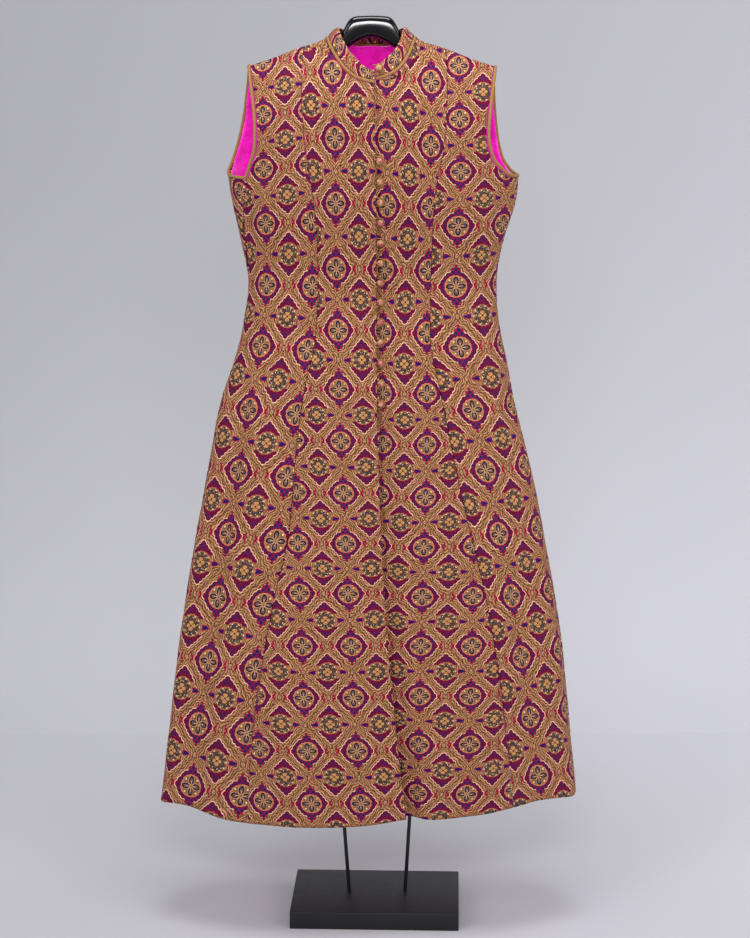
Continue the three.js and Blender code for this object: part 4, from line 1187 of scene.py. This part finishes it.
# the stand
standLook = {"base": (290, 201, 31), "bevel": 1.5, "turn": 2, "rodRadius": 3.2,
             "rodBevel": 0.6, "rodGaps": (0.6, 1.2), "left": (51, 130), "right": (-47, -146)}
formShape = {
    "out": [0, 12, 24, 32, 38, 44, 51, 61, 74, 88, 111, 130, 165, 184, 190],
    "top": [1538.5, 1538.2, 1537.4, 1535, 1529, 1518, 1505, 1497.5, 1493.5, 1490, 1484.1, 1477.7,
            1464.2, 1457, 1451],
    "bottom": [1503.5, 1501, 1495.5, 1490, 1486, 1482.5, 1479, 1474, 1469.5, 1464.5, 1457, 1450,
               1437, 1433, 1437],
    "depth": [17, 17, 17, 17, 17, 17, 17, 17, 17, 17, 16.5, 16, 14, 11, 5],
}


def addForm():
    sides = 32
    outs = refine(formShape["out"], 3)
    outs = np.concatenate([-outs[:0:-1], outs])
    angle = 2 * np.pi * np.arange(sides) / sides
    reach = np.abs(outs)
    top, bottom, depth = (valueAt(formShape, column, reach, "out")[:, None]
                          for column in ("top", "bottom", "depth"))
    y = depth * signedPower(np.cos(angle), 0.5)[None]
    z = (top + bottom) / 2 + (top - bottom) / 2 * signedPower(np.sin(angle), 0.5)[None]
    points = np.stack([shape["centreX"] + outs[:, None] + 0 * y, y, z], -1).reshape(-1, 3)
    faces = tubeFaces(len(outs), sides)
    piece = newObject("shoulder_form_shell", points, faces, materials=(blackGloss,))
    settle(piece, "shoulder_form")


def finishPart(piece, bevel, segments, material):
    bpy.ops.object.modifier_add(type="BEVEL")
    piece.modifiers[-1].width = bevel / 1000
    piece.modifiers[-1].segments = segments
    bpy.ops.object.modifier_apply(modifier=piece.modifiers[-1].name)
    piece.data.materials.append(material)
    bpy.ops.object.shade_smooth_by_angle(angle=0.6)
    piece.select_set(False)


def addRod(name, feet):
    under = float(valueAt(formShape, "bottom", abs(feet[1] - shape["centreX"]), "out"))
    foot = Vector((feet[0], 0, standLook["base"][2] + standLook["rodGaps"][0]))
    head = Vector((feet[1], 0, under - standLook["rodGaps"][1]))
    axis = head - foot
    radius = standLook["rodRadius"] / 1000
    bpy.ops.mesh.primitive_cylinder_add(vertices=32, radius=radius, depth=axis.length / 1000)
    rod = bpy.context.object
    rod.name = name + "_tube"
    finishPart(rod, standLook["rodBevel"], 2, blackMetal)
    turned = axis.to_track_quat("Z", "Y").to_matrix().to_4x4()
    turned.translation = (foot + head) / 2000
    rod.data.transform(turned)
    settle(rod, name)


def addBase():
    width, depth, height = (side / 1000 for side in standLook["base"])
    bpy.ops.mesh.primitive_cube_add(size=1, location=(0, 0, 0))
    block = bpy.context.object
    block.name = "stand_base_block"
    block.scale = (width, depth, height)
    block.location = (0, 0, height / 2)
    block.rotation_euler = (0, 0, -math.radians(standLook["turn"]))
    bpy.ops.object.transform_apply(location=True, rotation=True, scale=True)
    finishPart(block, standLook["bevel"], 3, blackWood)
    settle(block, "stand_base")


addForm()
addRod("stand_rod_left", standLook["left"])
addRod("stand_rod_right", standLook["right"])
addBase()
print("stand done")


# floor, light and camera: the paper rises only as wide as the front view needs
studio = {"floorHalf": 6, "paperHalf": 1.3, "wallY": 2.2, "wallTop": 4.5, "sweep": 1.2, "steps": 12,
          "sky": (0.8, 0.82, 0.86, 1), "skyPower": 0.35,
          "camera": (-0.0018, -3.75, 1.523), "lookDown": 11.115, "sensor": 36, "lens": 86.7}
sweepStart = studio["wallY"] - studio["sweep"]
half, paperHalf = studio["floorHalf"], studio["paperHalf"]
profile = [(sweepStart, 0)]
for step in range(1, studio["steps"] + 1):
    angle = math.pi / 2 * step / studio["steps"]
    profile.append((sweepStart + studio["sweep"] * math.sin(angle),
                    studio["sweep"] - studio["sweep"] * math.cos(angle)))
profile.append((studio["wallY"], studio["wallTop"]))
points = [(x, y, z) for y, z in profile for x in (-paperHalf, paperHalf)]
faces = [(i * 2, i * 2 + 1, i * 2 + 3, i * 2 + 2) for i in range(len(profile) - 1)]
for left, right, near, far in ((-half, half, -half, sweepStart), (-half, -paperHalf, sweepStart, half),
                               (paperHalf, half, sweepStart, half)):
    first = len(points)
    points += [(left, near, 0), (right, near, 0), (right, far, 0), (left, far, 0)]
    faces.append((first, first + 1, first + 2, first + 3))
points = np.array(points) * 1000
paper, tree, place = newMaterial("backdrop paper")
px, py, pz = partsOf(tree, place)
tone = (pz * -2.2).put("EXPONENT") * 0.40 + 0.82  # painted light: lighter low down, as the sweep catches the light, darker towards the front and lighter to the right
tone = tone * ((py * -1 + 1).most(0).least(1.5) * -0.13 + 1) * (px * 0.07 + 1)
dress(tree, {"Base Color": paint(tree, "000000", "f8f7ff", tone * 0.537), "Roughness": 0.9})
floor = newObject("backdrop", points, faces, materials=(paper,))


def addLight(name, place, target, size, power):
    data = bpy.data.lights.new(name, "AREA")
    data.shape = "RECTANGLE"
    data.size, data.size_y = size
    data.energy = power
    light = bpy.data.objects.new(name, data)
    light.location = place
    light.rotation_euler = (Vector(target) - Vector(place)).to_track_quat("-Z", "Y").to_euler()
    bpy.context.scene.collection.objects.link(light)


for name, *values in (
        ("key left", (-2.2, -2.6, 2.2), (0, 0, 0.75), (1.4, 2.2), 42),
        ("key right", (2.3, -2.6, 2.0), (0, 0, 0.8), (1.4, 2.2), 39),
        ("top", (0, -0.4, 3.2), (0, 0, 0.8), (1.4, 1.0), 38),
        ("front", (0, -3.3, 2.15), (0, 0, 1.3), (1.0, 0.5), 44),
        ("paper right", (2.6, 0.2, 1.2), (0.9, 2.2, 0.7), (1.2, 1.6), 26),
        ("paper left", (-2.6, 0.2, 1.0), (-0.9, 2.2, 0.6), (1.2, 1.6), 12)):
    addLight(name, *values)
world = bpy.data.worlds.new("room")
world.use_nodes = True
sky = world.node_tree.nodes["Background"]
sky.inputs[0].default_value, sky.inputs[1].default_value = studio["sky"], studio["skyPower"]
bpy.context.scene.world = world

camera = bpy.data.objects.new("camera", bpy.data.cameras.new("camera"))
camera.location = studio["camera"]
camera.rotation_euler = (math.radians(90 - studio["lookDown"]), 0, 0)
camera.data.sensor_width = studio["sensor"]
camera.data.lens = studio["lens"]
bpy.context.scene.collection.objects.link(camera)
bpy.context.scene.camera = camera
bpy.context.scene.view_settings.view_transform = "Standard"
